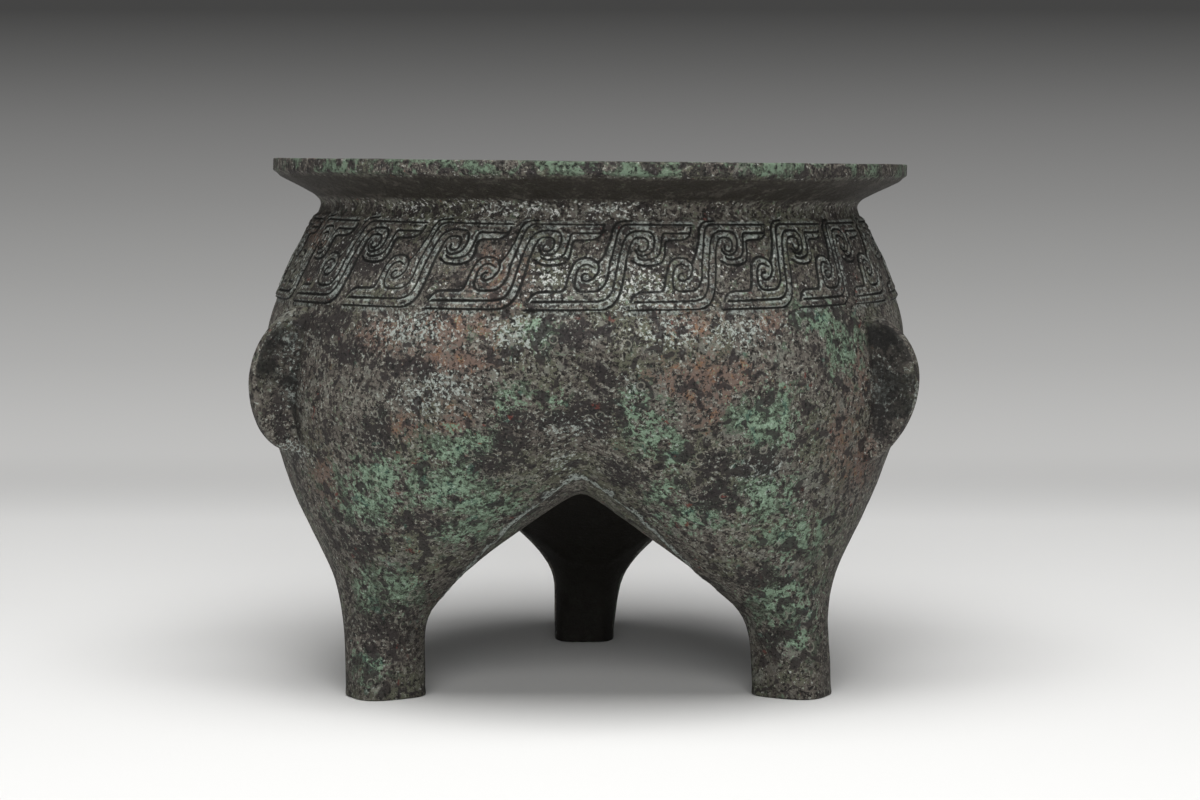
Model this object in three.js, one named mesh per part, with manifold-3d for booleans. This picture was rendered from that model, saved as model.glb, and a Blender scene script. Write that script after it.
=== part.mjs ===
import * as THREE from 'three';
import { mergeVertices } from 'three/addons/utils/BufferGeometryUtils.js';
import Module from 'manifold-3d';

// A bronze li: a cooking tripod cast in one piece, with an everted rim, a narrow neck,
// a frieze of hooked scrolls on a sloping shoulder, and three hollow pouch lobes that
// run down into short solid feet. A half-moon flange stands on the crest of each lobe.
// Millimetres, +Z up. The rear leg points to +Y and the two front legs to -Y.

// Rim and neck, with depths measured down from the rim's top
const HEIGHT = 130;
const RIM_RADIUS = 80;
const LIP_HEIGHT = 4.8;
const LIP_BEVEL = 1.8;
const RIM_FLAT = 1.6;
const RIM_EDGE = 0.6;
const RIM_MOUTH_DEPTH = 7.6;
const RIM_UNDER_SLOPE = 27 * Math.PI / 180;
const RIM_LEAN = 0.0105;
const RIM_SHIFT = 1.2;
const NECK_RADIUS = 67.9;
const NECK_DEPTH = 10.9;
const NECK_FILLET = 1.6;

// Sloping shoulder that carries the frieze
const FRIEZE_DEPTH = 13.2;
const FRIEZE_HEIGHT = 21.2;
const FRIEZE_TOP_RADIUS = 68.6;
const FRIEZE_FOOT_RADIUS = 78.3;
const FRIEZE_BULGE_DEPTH = 0.6;
const SHOULDER_DROP = 7.6;
const SHOULDER_SWELL = 1.9;
const SHOULDER_RADIUS = FRIEZE_FOOT_RADIUS + SHOULDER_SWELL;

// Wall of the casting, and the level where the hollow of each leg ends
const WALL = 2.6;
const LEG_FLOOR = 25;
const LEG_FLOOR_ROUNDING = 1.2;

// Legs and feet
const FOOT_CENTRE = 57;
const FOOT_HALF_WIDTH = 8;
const FOOT_HALF_DEPTH = 9.4;
const FOOT_SQUARENESS = 0.9;
const FOOT_EDGE = 0.5;
const LEG_TAPER = 0.068;
const ANKLE_HEIGHT = 19.5;
const ANKLE_RADIUS = 67.2;
const ANKLE_SOFTNESS = 2.5;
const LEG_LEAN = 0.46;
const LEG_TWIST = -2 * Math.PI / 180;
const LEG_TWIST_HEIGHT = 38;
const FOOT_TWIST = 0.8 * Math.PI / 180;
const FOOT_SHIFT = 0.4;
const INNER_FACE_SHARE = 0.96;
const INNER_FACE_FADE = 0.15;
const INNER_FACE_ROUNDING = 0.6;

// Underside between the legs
const CROTCH_HEIGHT = 51;
const CROTCH_RADIUS = 46;
const CROTCH_SLOPE = 0.9;
const CROTCH_ROUNDING = 2.2;
const CROTCH_BELOW_SHOULDER = 2;
const VALLEY_ROUNDING = 1.6;
const VALLEY_ROUNDING_AT_SHOULDER = 0.03;

// Flanges on the lobes' crests. A flange stands out from the shoulder, and its tip lies below
// it. Each differs a little: its azimuth in degrees, its reach and drop as shares of the common
// ones, its height above and below the tip as shares of the common height, and how quickly
// each of these curves falls away.
const FLANGE_REACH = 11.3;
const FLANGE_DROP = 10.5;
const FLANGE_HEIGHT = 34.5;
const FLANGE_THICKNESS = 3.2;
const FLANGE_EDGE = 0.5;
const FLANGE_SUNK = 0.9;
const FLANGE_ROOT = 3;
const FLANGES = [
  { azimuth: 90, reach: 1, drop: 1, above: 0.48, below: 0.52, topFall: 1.3, footFall: 1.2 },
  { azimuth: 210, reach: 1.01, drop: 1.03, above: 0.51, below: 0.49, topFall: 1.4, footFall: 1 },
  { azimuth: 330, reach: 0.96, drop: 0.95, above: 0.42, below: 0.57, topFall: 1.2, footFall: 1.5 },
];

// Frieze: a row of scrolls, a third of them over each lobe. Each third starts a little past a
// flange, and its scrolls grow narrower along it. A scroll is a leaning diagonal with a bar at
// each end, and a curl that winds in from each bar.
const SCROLL_COUNT = 21;
const SCROLL_START = Math.PI / 180;
const SCROLL_CROWDING = 0.14;
const SCROLL_RELIEF = 0.75;
const BAR_WIDTH = 4;
const BAR_MARGIN = 0.3;
const BAR_GAP = 1.8;
const BAR_CORNER = 2.8;
const BAR_SLANT = 2.4;
const DIAGONAL_WIDTH = 3;
const DIAGONAL_LEAN = 10 * Math.PI / 180;
const CURL_WIDTH = 1.5;
const CURL_GAP = 0.4;
const CURL_TURNS = 0.975;
const CURL_MIDDLE_ALONG = 0.284;
const CURL_MIDDLE_UP = 0.445;

// How finely the faces follow the curves
const LOBES = 3;
const SHOULDER_STEPS = 7;
const VALLEY_STEPS = 5;
const VAULT_STEPS = 4;
const LOBE_ROWS = 7;
const LEG_STEPS = 16;
const LEG_LEVELS = [0.68, 0.52, 0.43, 0.34, 0.2];
const HOLLOW_LEVELS = [0, 0.5, 0.85];
const HOLLOW_SHARE = 0.6;
const FLANGE_STEPS = 7;
const CURL_STEPS = 7;
const CELL_EDGE_STEPS = 3;
const SURFACE_GRID = 1e-4;

const SECTOR = 2 * Math.PI / LOBES;
const FULL_TURN = 2 * Math.PI;
const SHOULDER_HEIGHT = HEIGHT - FRIEZE_DEPTH - FRIEZE_HEIGHT - SHOULDER_DROP;
const FRIEZE_TOP = HEIGHT - FRIEZE_DEPTH;
const FRIEZE_FOOT = FRIEZE_TOP - FRIEZE_HEIGHT;

const wasm = await Module();
wasm.setup();

// Small curve helpers

function softRamp(x, softness) {
  return softness * Math.log(1 + Math.exp(x / softness));
}

function smoothStep(low, high, x) {
  const share = Math.min(Math.max((x - low) / (high - low), 0), 1);
  return share * share * (3 - 2 * share);
}

// A smooth curve through a few points, as a function of the first coordinate
function curveThrough(points) {
  const slopes = points.map((point, i) => {
    const before = points[Math.max(i - 1, 0)];
    const after = points[Math.min(i + 1, points.length - 1)];
    return (after[1] - before[1]) / (after[0] - before[0]);
  });
  return (x) => {
    let i = 0;
    while (i < points.length - 2 && x > points[i + 1][0]) i += 1;
    const span = points[i + 1][0] - points[i][0];
    const t = Math.min(Math.max((x - points[i][0]) / span, 0), 1);
    const rise = points[i][1] + (points[i + 1][1] - points[i][1]) * t * t * (3 - 2 * t);
    const bend = slopes[i] * t * (1 - t) * (1 - t) - slopes[i + 1] * t * t * (1 - t);
    return rise + span * bend;
  };
}

// The lobes' form, level by level. A lobe's section is an ellipse, whose centre moves
// from the foot to the vessel's axis as it grows into the round shoulder.

const legSpan = SHOULDER_HEIGHT - ANKLE_HEIGHT;
const flare = (SHOULDER_RADIUS - FOOT_HALF_WIDTH - LEG_TAPER * SHOULDER_HEIGHT) / legSpan;
const lateShift = FOOT_CENTRE - LEG_LEAN * legSpan;

const crestRise = curveThrough([
  [0, 0], [0.11, 0.04], [0.2, 0.19], [0.36, 0.56], [0.52, 0.84], [0.66, 1.04], [0.8, 1.13], [1, 1],
]);

function lobeCentre(height) {
  const share = Math.max((height - ANKLE_HEIGHT) / legSpan, 0);
  const lean = LEG_LEAN * softRamp(height - ANKLE_HEIGHT, ANKLE_SOFTNESS);
  return FOOT_CENTRE - lean - lateShift * share ** 4;
}

function lobeHalfWidth(height) {
  return FOOT_HALF_WIDTH + LEG_TAPER * height + flare * softRamp(height - ANKLE_HEIGHT, ANKLE_SOFTNESS);
}

function crestRadius(height) {
  if (height < ANKLE_HEIGHT) {
    const footRadius = FOOT_CENTRE + FOOT_HALF_DEPTH;
    return footRadius + (ANKLE_RADIUS - footRadius) * height / ANKLE_HEIGHT;
  }
  const share = (height - ANKLE_HEIGHT) / legSpan;
  return ANKLE_RADIUS + (SHOULDER_RADIUS - ANKLE_RADIUS) * crestRise(share);
}

// Distance from the lobe that lies along the first coordinate, negative inside. The foot's
// section is squarer than an ellipse and has a flat face towards the vessel's axis.
function lobeField(radial, tangent, height) {
  const centre = lobeCentre(height);
  const depth = crestRadius(height) - centre;
  const width = lobeHalfWidth(height);
  const power = 2 + FOOT_SQUARENESS * (1 - smoothStep(0, ANKLE_HEIGHT, height));
  const a = Math.abs(radial - centre) / depth;
  const b = Math.abs(tangent) / width;
  const reach = Math.max((a ** power + b ** power) ** (1 / power), 1e-6);
  const slope = Math.hypot(a ** (power - 1) / depth, b ** (power - 1) / width) / reach ** (power - 1);
  const round = (reach - 1) / Math.max(slope, 1e-6);
  const faceShare = INNER_FACE_SHARE + INNER_FACE_FADE * softRamp(height - ANKLE_HEIGHT, ANKLE_SOFTNESS);
  const face = centre - depth * faceShare - radial;
  return softRamp(face - round, INNER_FACE_ROUNDING) + round;
}

// Distance from the shallow bowl that closes the underside between the lobes
function bowlField(radius, height) {
  const side = Math.min(
    CROTCH_RADIUS + CROTCH_SLOPE * (height - CROTCH_HEIGHT), SHOULDER_RADIUS - CROTCH_BELOW_SHOULDER,
  );
  const wall = (radius - side) / Math.hypot(1, CROTCH_SLOPE);
  const floor = CROTCH_HEIGHT - height;
  return softRamp(wall - floor, CROTCH_ROUNDING) + floor;
}

// Distance from the whole lower body: three lobes and the bowl, with rounded valleys
function bodyField(x, y, height) {
  const fade = smoothStep(CROTCH_HEIGHT, SHOULDER_HEIGHT, height);
  const rounding = VALLEY_ROUNDING + (VALLEY_ROUNDING_AT_SHOULDER - VALLEY_ROUNDING) * fade;
  let sum = Math.exp(-bowlField(Math.hypot(x, y), height) / rounding);
  for (let i = 0; i < LOBES; i += 1) {
    const radial = x * Math.cos(i * SECTOR) + y * Math.sin(i * SECTOR);
    const tangent = y * Math.cos(i * SECTOR) - x * Math.sin(i * SECTOR);
    sum += Math.exp(-lobeField(radial, tangent, height) / rounding);
  }
  return -rounding * Math.log(sum);
}

// The same as a true distance near the surface, by its slope in space
function bodyDistance(x, y, height) {
  const step = 0.05;
  const leastSlope = 0.2;
  const value = bodyField(x, y, height);
  const slope = Math.hypot(
    bodyField(x + step, y, height) - value,
    bodyField(x, y + step, height) - value,
    bodyField(x, y, height + step) - value,
  ) / step;
  return value / Math.max(slope, leastSlope);
}

function outerField(point) {
  return bodyField(point.x, point.y, point.z);
}

// The hollow: the body drawn in by the wall, ended by a rounded floor in each leg
function hollowField(point) {
  const side = bodyDistance(point.x, point.y, point.z) + WALL;
  const floor = LEG_FLOOR - point.z;
  return softRamp(side - floor, LEG_FLOOR_ROUNDING) + floor;
}

// The point where a ray from inside meets the surface
function castRay(origin, direction, field) {
  const point = new THREE.Vector3();
  const at = (distance) => field(point.copy(direction).multiplyScalar(distance).add(origin));
  const stride = 2;
  const halvings = 24;
  let far = stride;
  while (at(far) < 0 && far < RIM_RADIUS + HEIGHT) far += stride;
  let near = far - stride;
  for (let i = 0; i < halvings; i += 1) {
    const middle = (near + far) / 2;
    if (at(middle) < 0) near = middle;
    else far = middle;
  }
  at((near + far) / 2);
  return point.clone();
}

// Surfaces as lists of triangles between closed rings of points

function addStrip(corners, lower, upper) {
  let i = 0;
  let j = 0;
  while (i < lower.length || j < upper.length) {
    const a = lower[i % lower.length];
    const b = upper[j % upper.length];
    if ((i + 1) / lower.length <= (j + 1) / upper.length) {
      corners.push(a, lower[(i + 1) % lower.length], b);
      i += 1;
    } else {
      corners.push(a, upper[(j + 1) % upper.length], b);
      j += 1;
    }
  }
}

function addFan(corners, ring, middle) {
  ring.forEach((point, i) => corners.push(point, ring[(i + 1) % ring.length], middle));
}

function turned(points, angle) {
  const axis = new THREE.Vector3(0, 0, 1);
  return points.map((point) => point.clone().applyAxisAngle(axis, angle));
}

function solidFromGeometry(geometry) {
  const plain = geometry.clone();
  plain.deleteAttribute('normal');
  plain.deleteAttribute('uv');
  const merged = mergeVertices(plain, SURFACE_GRID);
  return new wasm.Manifold(new wasm.Mesh({
    numProp: 3,
    vertProperties: new Float32Array(merged.attributes.position.array),
    triVerts: new Uint32Array(merged.index.array),
  }));
}

// Points that two surfaces share are first brought to the same fine grid
function solidFromCorners(corners) {
  const snapped = corners.map((point) => (
    point.clone().divideScalar(SURFACE_GRID).round().multiplyScalar(SURFACE_GRID)
  ));
  return solidFromGeometry(new THREE.BufferGeometry().setFromPoints(snapped));
}

// Body: the lobes below the shoulder, and the turned neck and rim above it

// Where the rays of a lobe's skin start, and where those of the line between two lobes do
const lobeHeart = new THREE.Vector3(0.42 * RIM_RADIUS, 0, (CROTCH_HEIGHT + SHOULDER_HEIGHT) / 2);
const edgeHeartRadius = 0.25 * RIM_RADIUS;
const edgeHeartHeight = 0.86 * SHOULDER_HEIGHT;
const vaultRise = 2;

// Half of the line where a lobe's skin meets its neighbours', from the crest to the axis
function sectorEdge(field, shoulderRadius, stepShare) {
  const count = (steps) => Math.max(Math.round(steps * stepShare), 2);
  const half = SECTOR / 2;
  const shoulderSteps = count(SHOULDER_STEPS);
  const points = circle(shoulderRadius, SHOULDER_HEIGHT, LOBES * 2 * shoulderSteps, 0)
    .slice(0, shoulderSteps + 1);
  const heart = new THREE.Vector3(
    edgeHeartRadius * Math.cos(half), edgeHeartRadius * Math.sin(half), edgeHeartHeight,
  );
  const out = new THREE.Vector3(Math.cos(half), Math.sin(half), 0);
  const start = Math.atan2(SHOULDER_HEIGHT - heart.z, shoulderRadius - edgeHeartRadius);
  const corner = Math.atan2(CROTCH_HEIGHT - heart.z, CROTCH_RADIUS - edgeHeartRadius);
  const end = Math.atan2(CROTCH_HEIGHT + vaultRise - heart.z, -edgeHeartRadius);
  const valleySteps = count(VALLEY_STEPS);
  const vaultSteps = count(VAULT_STEPS);
  const angles = [];
  for (let i = 1; i < valleySteps; i += 1) angles.push(start + (corner - start) * i / valleySteps);
  for (let i = 0; i < vaultSteps; i += 1) angles.push(corner + (end - corner) * i / vaultSteps);
  for (const angle of angles) {
    const direction = out.clone().multiplyScalar(Math.cos(angle)).setZ(Math.sin(angle));
    points.push(castRay(heart, direction, field));
  }
  points.push(castRay(new THREE.Vector3(0, 0, heart.z), new THREE.Vector3(0, 0, -1), field));
  return points;
}

function mirrored(halfRing) {
  const back = halfRing.slice(1, -1).reverse();
  return [...halfRing, ...back.map((point) => new THREE.Vector3(point.x, -point.y, point.z))];
}

// One lobe's skin from its edge down to its foot, as rings
function lobeRings(field, shoulderRadius, stepShare, legLevels) {
  const edge = sectorEdge(field, shoulderRadius, stepShare);
  const rows = Math.max(Math.round(LOBE_ROWS * stepShare), 3);
  const legTop = legLevels[0];
  const centre = new THREE.Vector3(lobeCentre(legTop), 0, legTop);
  const rings = [mirrored(edge)];
  for (let row = 1; row <= rows; row += 1) {
    const share = row / (rows + 1);
    rings.push(mirrored(edge.map((point, i) => {
      const spread = Math.PI * i / (edge.length - 1);
      const low = new THREE.Vector3(
        (crestRadius(legTop) - centre.x) * Math.cos(spread), lobeHalfWidth(legTop) * Math.sin(spread), 0,
      ).add(centre).sub(lobeHeart).normalize();
      const high = point.clone().sub(lobeHeart).normalize();
      return castRay(lobeHeart, high.lerp(low, share).normalize(), field);
    })));
  }
  const legSteps = 2 * Math.round(LEG_STEPS * stepShare / 2);
  for (const level of legLevels) {
    const origin = new THREE.Vector3(lobeCentre(level), 0, level);
    const half = [];
    for (let i = 0; i <= legSteps / 2; i += 1) {
      const angle = 2 * Math.PI * i / legSteps;
      half.push(castRay(origin, new THREE.Vector3(Math.cos(angle), Math.sin(angle), 0), field));
    }
    rings.push(mirrored(half));
  }
  return rings;
}

function outerBody() {
  const corners = [];
  const levels = LEG_LEVELS.map((share) => share * CROTCH_HEIGHT);
  const rings = lobeRings(outerField, SHOULDER_RADIUS, 1, [...levels, FOOT_EDGE]);
  const footMiddle = new THREE.Vector3(FOOT_CENTRE, 0, 0);
  const sole = rings[rings.length - 1].map((point) => {
    const inward = footMiddle.clone().setZ(point.z).sub(point);
    return point.clone().addScaledVector(inward, FOOT_EDGE / inward.length()).setZ(0);
  });
  rings.push(sole);
  for (let lobe = 0; lobe < LOBES; lobe += 1) {
    const placed = rings.map((ring) => turned(ring, lobe * SECTOR));
    for (let i = 0; i + 1 < placed.length; i += 1) addStrip(corners, placed[i + 1], placed[i]);
    const middle = turned([footMiddle], lobe * SECTOR)[0];
    addFan(corners, [...placed[placed.length - 1]].reverse(), middle);
  }
  const shoulder = circle(SHOULDER_RADIUS, SHOULDER_HEIGHT, 2 * SHOULDER_STEPS * LOBES, 0);
  const band = addFrieze(corners);
  addStrip(corners, shoulder, band.foot);
  const rim = rimProfile().map(([radius, height]) => (
    circle(radius, height, band.top.length, band.topStart)
  ));
  [band.top, ...rim.slice(0, -1)].forEach((ring, i) => addStrip(corners, ring, rim[i]));
  addFan(corners, rim[rim.length - 1], new THREE.Vector3(0, 0, HEIGHT));
  return solidFromCorners(corners);
}

// Radius of the frieze's ground at a share of its height, from its foot to its top
function friezeRadius(share) {
  const straight = FRIEZE_FOOT_RADIUS + (FRIEZE_TOP_RADIUS - FRIEZE_FOOT_RADIUS) * share;
  return straight + 4 * FRIEZE_BULGE_DEPTH * share * (1 - share);
}

function circle(radius, height, steps, start) {
  const ring = [];
  for (let i = 0; i < steps; i += 1) {
    const angle = start + FULL_TURN * i / steps;
    ring.push(new THREE.Vector3(radius * Math.cos(angle), radius * Math.sin(angle), height));
  }
  return ring;
}

// Outline of the neck and the everted rim, from the frieze up to the rim's flat top
function rimProfile() {
  const lipFoot = HEIGHT - LIP_HEIGHT;
  const lipInside = RIM_RADIUS - LIP_BEVEL;
  const underEnd = NECK_RADIUS + NECK_FILLET;
  const underHeight = lipFoot - (lipInside - underEnd) * Math.tan(RIM_UNDER_SLOPE);
  return [
    [NECK_RADIUS, HEIGHT - NECK_DEPTH],
    [underEnd, Math.max(underHeight, HEIGHT - NECK_DEPTH + NECK_FILLET / 2)],
    [lipInside, lipFoot],
    [RIM_RADIUS, lipFoot + LIP_BEVEL],
    [RIM_RADIUS, HEIGHT - RIM_EDGE],
    [RIM_RADIUS - RIM_EDGE, HEIGHT],
  ];
}

// The hollow, as the solid that is cut away: it runs out past the rim's top

function innerProfile() {
  const mouthRadius = RIM_RADIUS - RIM_FLAT;
  const neckRadius = NECK_RADIUS - WALL;
  const above = 2;
  const mouthRun = (mouthRadius - neckRadius) / RIM_MOUTH_DEPTH;
  const slope = (FRIEZE_FOOT_RADIUS - FRIEZE_TOP_RADIUS) / FRIEZE_HEIGHT;
  const slantWall = WALL * Math.hypot(1, slope);
  const points = [[SHOULDER_RADIUS - WALL, SHOULDER_HEIGHT]];
  for (let i = 0; i <= 2; i += 1) {
    points.push([friezeRadius(i / 2) - slantWall, FRIEZE_FOOT + FRIEZE_HEIGHT * i / 2]);
  }
  points.push([neckRadius, HEIGHT - NECK_DEPTH]);
  points.push([neckRadius, HEIGHT - RIM_MOUTH_DEPTH]);
  points.push([mouthRadius + above * mouthRun, HEIGHT + above]);
  return points;
}

function hollow() {
  const corners = [];
  const top = LEG_LEVELS[0] * CROTCH_HEIGHT;
  const levels = HOLLOW_LEVELS.map((share) => top + (LEG_FLOOR - top) * share);
  const rings = lobeRings(hollowField, SHOULDER_RADIUS - WALL, HOLLOW_SHARE, levels);
  const bottom = castRay(
    new THREE.Vector3(lobeCentre(top), 0, top), new THREE.Vector3(0, 0, -1), hollowField,
  );
  for (let lobe = 0; lobe < LOBES; lobe += 1) {
    const placed = rings.map((ring) => turned(ring, lobe * SECTOR));
    for (let i = 0; i + 1 < placed.length; i += 1) addStrip(corners, placed[i + 1], placed[i]);
    addFan(corners, [...placed[placed.length - 1]].reverse(), turned([bottom], lobe * SECTOR)[0]);
  }
  const steps = 2 * Math.round(SHOULDER_STEPS * HOLLOW_SHARE) * LOBES;
  const neck = innerProfile().map(([radius, height]) => circle(radius, height, steps, 0));
  neck.slice(1).forEach((ring, i) => addStrip(corners, neck[i], ring));
  addFan(corners, neck[neck.length - 1], new THREE.Vector3(0, 0, neck[neck.length - 1][0].z));
  return solidFromCorners(corners);
}

// Flanges: half-moon plates on the crests, straighter above the tip than below it
function flange({ azimuth, reach, drop, above, below, topFall, footFall }) {
  const root = SHOULDER_RADIUS - FLANGE_SUNK;
  const out = SHOULDER_RADIUS + FLANGE_REACH * reach - FLANGE_EDGE;
  const tip = SHOULDER_HEIGHT - FLANGE_DROP * drop;
  const top = FLANGE_HEIGHT * above;
  const foot = FLANGE_HEIGHT * below;
  const outline = new THREE.Shape();
  outline.moveTo(root - FLANGE_ROOT, tip + top);
  for (let i = -FLANGE_STEPS; i <= FLANGE_STEPS; i += 1) {
    const angle = Math.PI / 2 * i / FLANGE_STEPS;
    const height = tip - Math.sin(angle) * (i < 0 ? top : foot);
    const swell = Math.max(Math.cos(angle), 0) ** (i < 0 ? topFall : footFall);
    outline.lineTo(root + (out - root) * swell, height);
  }
  outline.lineTo(root - FLANGE_ROOT, tip - foot);
  const plate = new THREE.ExtrudeGeometry(outline, {
    depth: FLANGE_THICKNESS - 2 * FLANGE_EDGE,
    bevelEnabled: true,
    bevelThickness: FLANGE_EDGE,
    bevelSize: FLANGE_EDGE,
    bevelSegments: 1,
  });
  plate.translate(0, 0, FLANGE_EDGE - FLANGE_THICKNESS / 2);
  plate.rotateX(Math.PI / 2);
  plate.rotateZ(azimuth * Math.PI / 180);
  return solidFromGeometry(plate);
}

// Frieze: each scroll is one outline on the sloping shoulder, in millimetres along and up
// from its own middle, raised from the ground of its cell.

const scrollMidRadius = (FRIEZE_FOOT_RADIUS + FRIEZE_TOP_RADIUS) / 2;
const scrollPitch = FULL_TURN * scrollMidRadius / SCROLL_COUNT;
const barFoot = BAR_MARGIN - FRIEZE_HEIGHT / 2;
const barTop = barFoot + BAR_WIDTH;
const diagonalHalf = DIAGONAL_WIDTH / 2 / Math.cos(DIAGONAL_LEAN);
const curlMiddle = new THREE.Vector2(-CURL_MIDDLE_ALONG * scrollPitch, CURL_MIDDLE_UP * barTop);

// The widest curl that leaves ground beside the next scroll's curl, and its radius where it
// runs just above the bar, three quarters of a turn on
const curlSpacing = Math.hypot(scrollPitch + 2 * curlMiddle.x, 2 * curlMiddle.y);
const curlWide = (curlSpacing - CURL_WIDTH) / 2;
const curlTight = curlMiddle.y - barTop - CURL_WIDTH / 2 - CURL_GAP;
const curlTightTurn = 1.5 * Math.PI;

function aroundPoint(middle, radius, angle) {
  return new THREE.Vector2(middle.x + radius * Math.cos(angle), middle.y + radius * Math.sin(angle));
}

function diagonalAt(up, side) {
  return new THREE.Vector2(up * Math.tan(DIAGONAL_LEAN) + side * diagonalHalf, up);
}

// A point of the curl, by how far it has turned from its root and its side of the middle line
function curlPoint(turn, side) {
  const middle = curlWide + (curlTight - curlWide) * turn / curlTightTurn;
  return aroundPoint(curlMiddle, middle + side * CURL_WIDTH / 2, Math.PI - turn);
}

// Half of a scroll's outline: down the diagonal's left side, along the bar and its curl to
// the tip, and back under the bar to the diagonal's right side
function halfOutline() {
  const inner = [];
  const outer = [];
  for (let i = 0; i <= CURL_STEPS; i += 1) {
    const turn = CURL_TURNS * FULL_TURN * i / CURL_STEPS;
    inner.push(curlPoint(turn, -1));
    outer.push(curlPoint(turn, 1));
  }
  const tip = diagonalAt(barFoot, 1).x + BAR_GAP - scrollPitch;
  const cornerMiddle = diagonalAt(barFoot + BAR_CORNER, 1).sub(new THREE.Vector2(BAR_CORNER, 0));
  const corner = [];
  for (let i = 0; i <= 2; i += 1) {
    const angle = -Math.PI / 2 + (Math.PI / 2 - DIAGONAL_LEAN) * i / 2;
    corner.push(aroundPoint(cornerMiddle, BAR_CORNER, angle));
  }
  return [
    diagonalAt(0, -1),
    diagonalAt(barTop + CURL_GAP, -1),
    new THREE.Vector2(diagonalAt(barTop, -1).x - CURL_GAP, barTop),
    new THREE.Vector2(inner[0].x, barTop),
    ...inner,
    ...outer.reverse(),
    new THREE.Vector2(curlPoint(0, 1).x, barTop),
    new THREE.Vector2(tip + BAR_SLANT, barTop),
    new THREE.Vector2(tip + BAR_SLANT / 6, (barTop + barFoot) / 2),
    new THREE.Vector2(tip, barFoot),
    new THREE.Vector2((tip + cornerMiddle.x) / 2, barFoot),
    ...corner,
  ];
}

// The line through the ground between a scroll and the next one to its right
function groundLine() {
  const beside = new THREE.Vector2(BAR_GAP / 2, 0);
  const curlFoot = -curlMiddle.y - curlPoint(Math.PI / 2, 1).distanceTo(curlMiddle);
  const level = (barTop + curlFoot) / 2;
  const half = [
    diagonalAt(barFoot, 1).add(beside).setY(-FRIEZE_HEIGHT / 2),
    diagonalAt(level, 1).add(beside),
    new THREE.Vector2((-curlMiddle.x + scrollPitch / 2) / 2, level),
  ];
  const middle = new THREE.Vector2(scrollPitch / 2, 0);
  const back = half.map((point) => new THREE.Vector2(scrollPitch - point.x, -point.y)).reverse();
  return [...half, middle, ...back];
}

// Where an angle that runs evenly along the frieze lies once its third's scrolls are crowded
function crowdedAngle(angle) {
  const turns = (angle - SCROLL_START) / SECTOR;
  const along = turns - Math.floor(turns);
  return angle + SECTOR * SCROLL_CROWDING * along * (1 - along);
}

function pointOnFrieze(point, raise, middle) {
  const share = point.y / FRIEZE_HEIGHT + 0.5;
  const radius = friezeRadius(share) + raise;
  const angle = crowdedAngle(middle + point.x / scrollMidRadius);
  const height = FRIEZE_FOOT + FRIEZE_HEIGHT * share;
  return new THREE.Vector3(radius * Math.cos(angle), radius * Math.sin(angle), height);
}

// Triangles of a flat outline. Points that lie in line would be passed over, so they are
// triangulated on a slight bow and used where they are.
function flatFaces(outline, hole) {
  const bow = 1e-5;
  const bowed = (points) => points.map(({ x, y }) => (
    new THREE.Vector2(x + bow * y ** 2, y * (1 - bow * x ** 2))
  ));
  return THREE.ShapeUtils.triangulateShape(bowed(outline), hole ? [bowed(hole)] : []);
}

// Adds the whole band and returns its lowest and highest rings
function addFrieze(corners) {
  const half = halfOutline();
  const outline = [...half, ...half.map((point) => point.clone().negate())];
  const right = groundLine();
  const shift = new THREE.Vector2(-scrollPitch, 0);
  const left = right.map((point) => point.clone().add(shift));
  const footEdge = [];
  const topEdge = [];
  for (let i = 1; i < CELL_EDGE_STEPS; i += 1) {
    footEdge.push(left[0].clone().lerp(right[0], i / CELL_EDGE_STEPS));
    topEdge.push(right[right.length - 1].clone().lerp(left[left.length - 1], i / CELL_EDGE_STEPS));
  }
  const cell = [left[0], ...footEdge, ...right, ...topEdge, ...left.slice(1).reverse()];
  const ground = [...cell, ...outline];
  const groundFaces = flatFaces(cell, outline);
  const raisedFaces = flatFaces(outline);
  const band = { foot: [], top: [], topStart: 0 };
  for (let i = 0; i < SCROLL_COUNT; i += 1) {
    const turns = (i + Math.ceil(SCROLL_COUNT / 2) + 0.5) / SCROLL_COUNT;
    const middle = SCROLL_START + FULL_TURN * turns - Math.PI;
    const low = ground.map((point) => pointOnFrieze(point, 0, middle));
    const high = outline.map((point) => pointOnFrieze(point, SCROLL_RELIEF, middle));
    for (const [a, b, c] of groundFaces) corners.push(low[a], low[b], low[c]);
    for (const [a, b, c] of raisedFaces) corners.push(high[a], high[b], high[c]);
    outline.forEach((point, j) => {
      const next = (j + 1) % outline.length;
      const [a, b] = [low[cell.length + j], low[cell.length + next]];
      corners.push(a, b, high[j], b, high[next], high[j]);
    });
    band.foot.push(low[0], ...footEdge.map((point) => pointOnFrieze(point, 0, middle)));
    band.top.push(...[left[left.length - 1], ...[...topEdge].reverse()].map(
      (point) => pointOnFrieze(point, 0, middle),
    ));
  }
  band.topStart = Math.atan2(band.top[0].y, band.top[0].x);
  return band;
}

// The whole casting, turned so that one leg points to the rear

function joined(solids) {
  return solids.reduce((sum, solid) => sum.add(solid));
}

function casting() {
  const rear = Math.PI / 2;
  const body = outerBody().rotate([0, 0, rear * 180 / Math.PI]);
  const inside = hollow().rotate([0, 0, rear * 180 / Math.PI]);
  const mesh = joined([body, ...FLANGES.map(flange)]).subtract(inside).getMesh();
  const geometry = new THREE.BufferGeometry();
  const positions = new Float32Array(mesh.vertProperties);
  geometry.setAttribute('position', new THREE.BufferAttribute(positions, 3));
  geometry.setIndex(new THREE.BufferAttribute(new Uint32Array(mesh.triVerts), 1));
  twistLegs(geometry);
  leanRim(geometry);
  return geometry;
}

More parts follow.
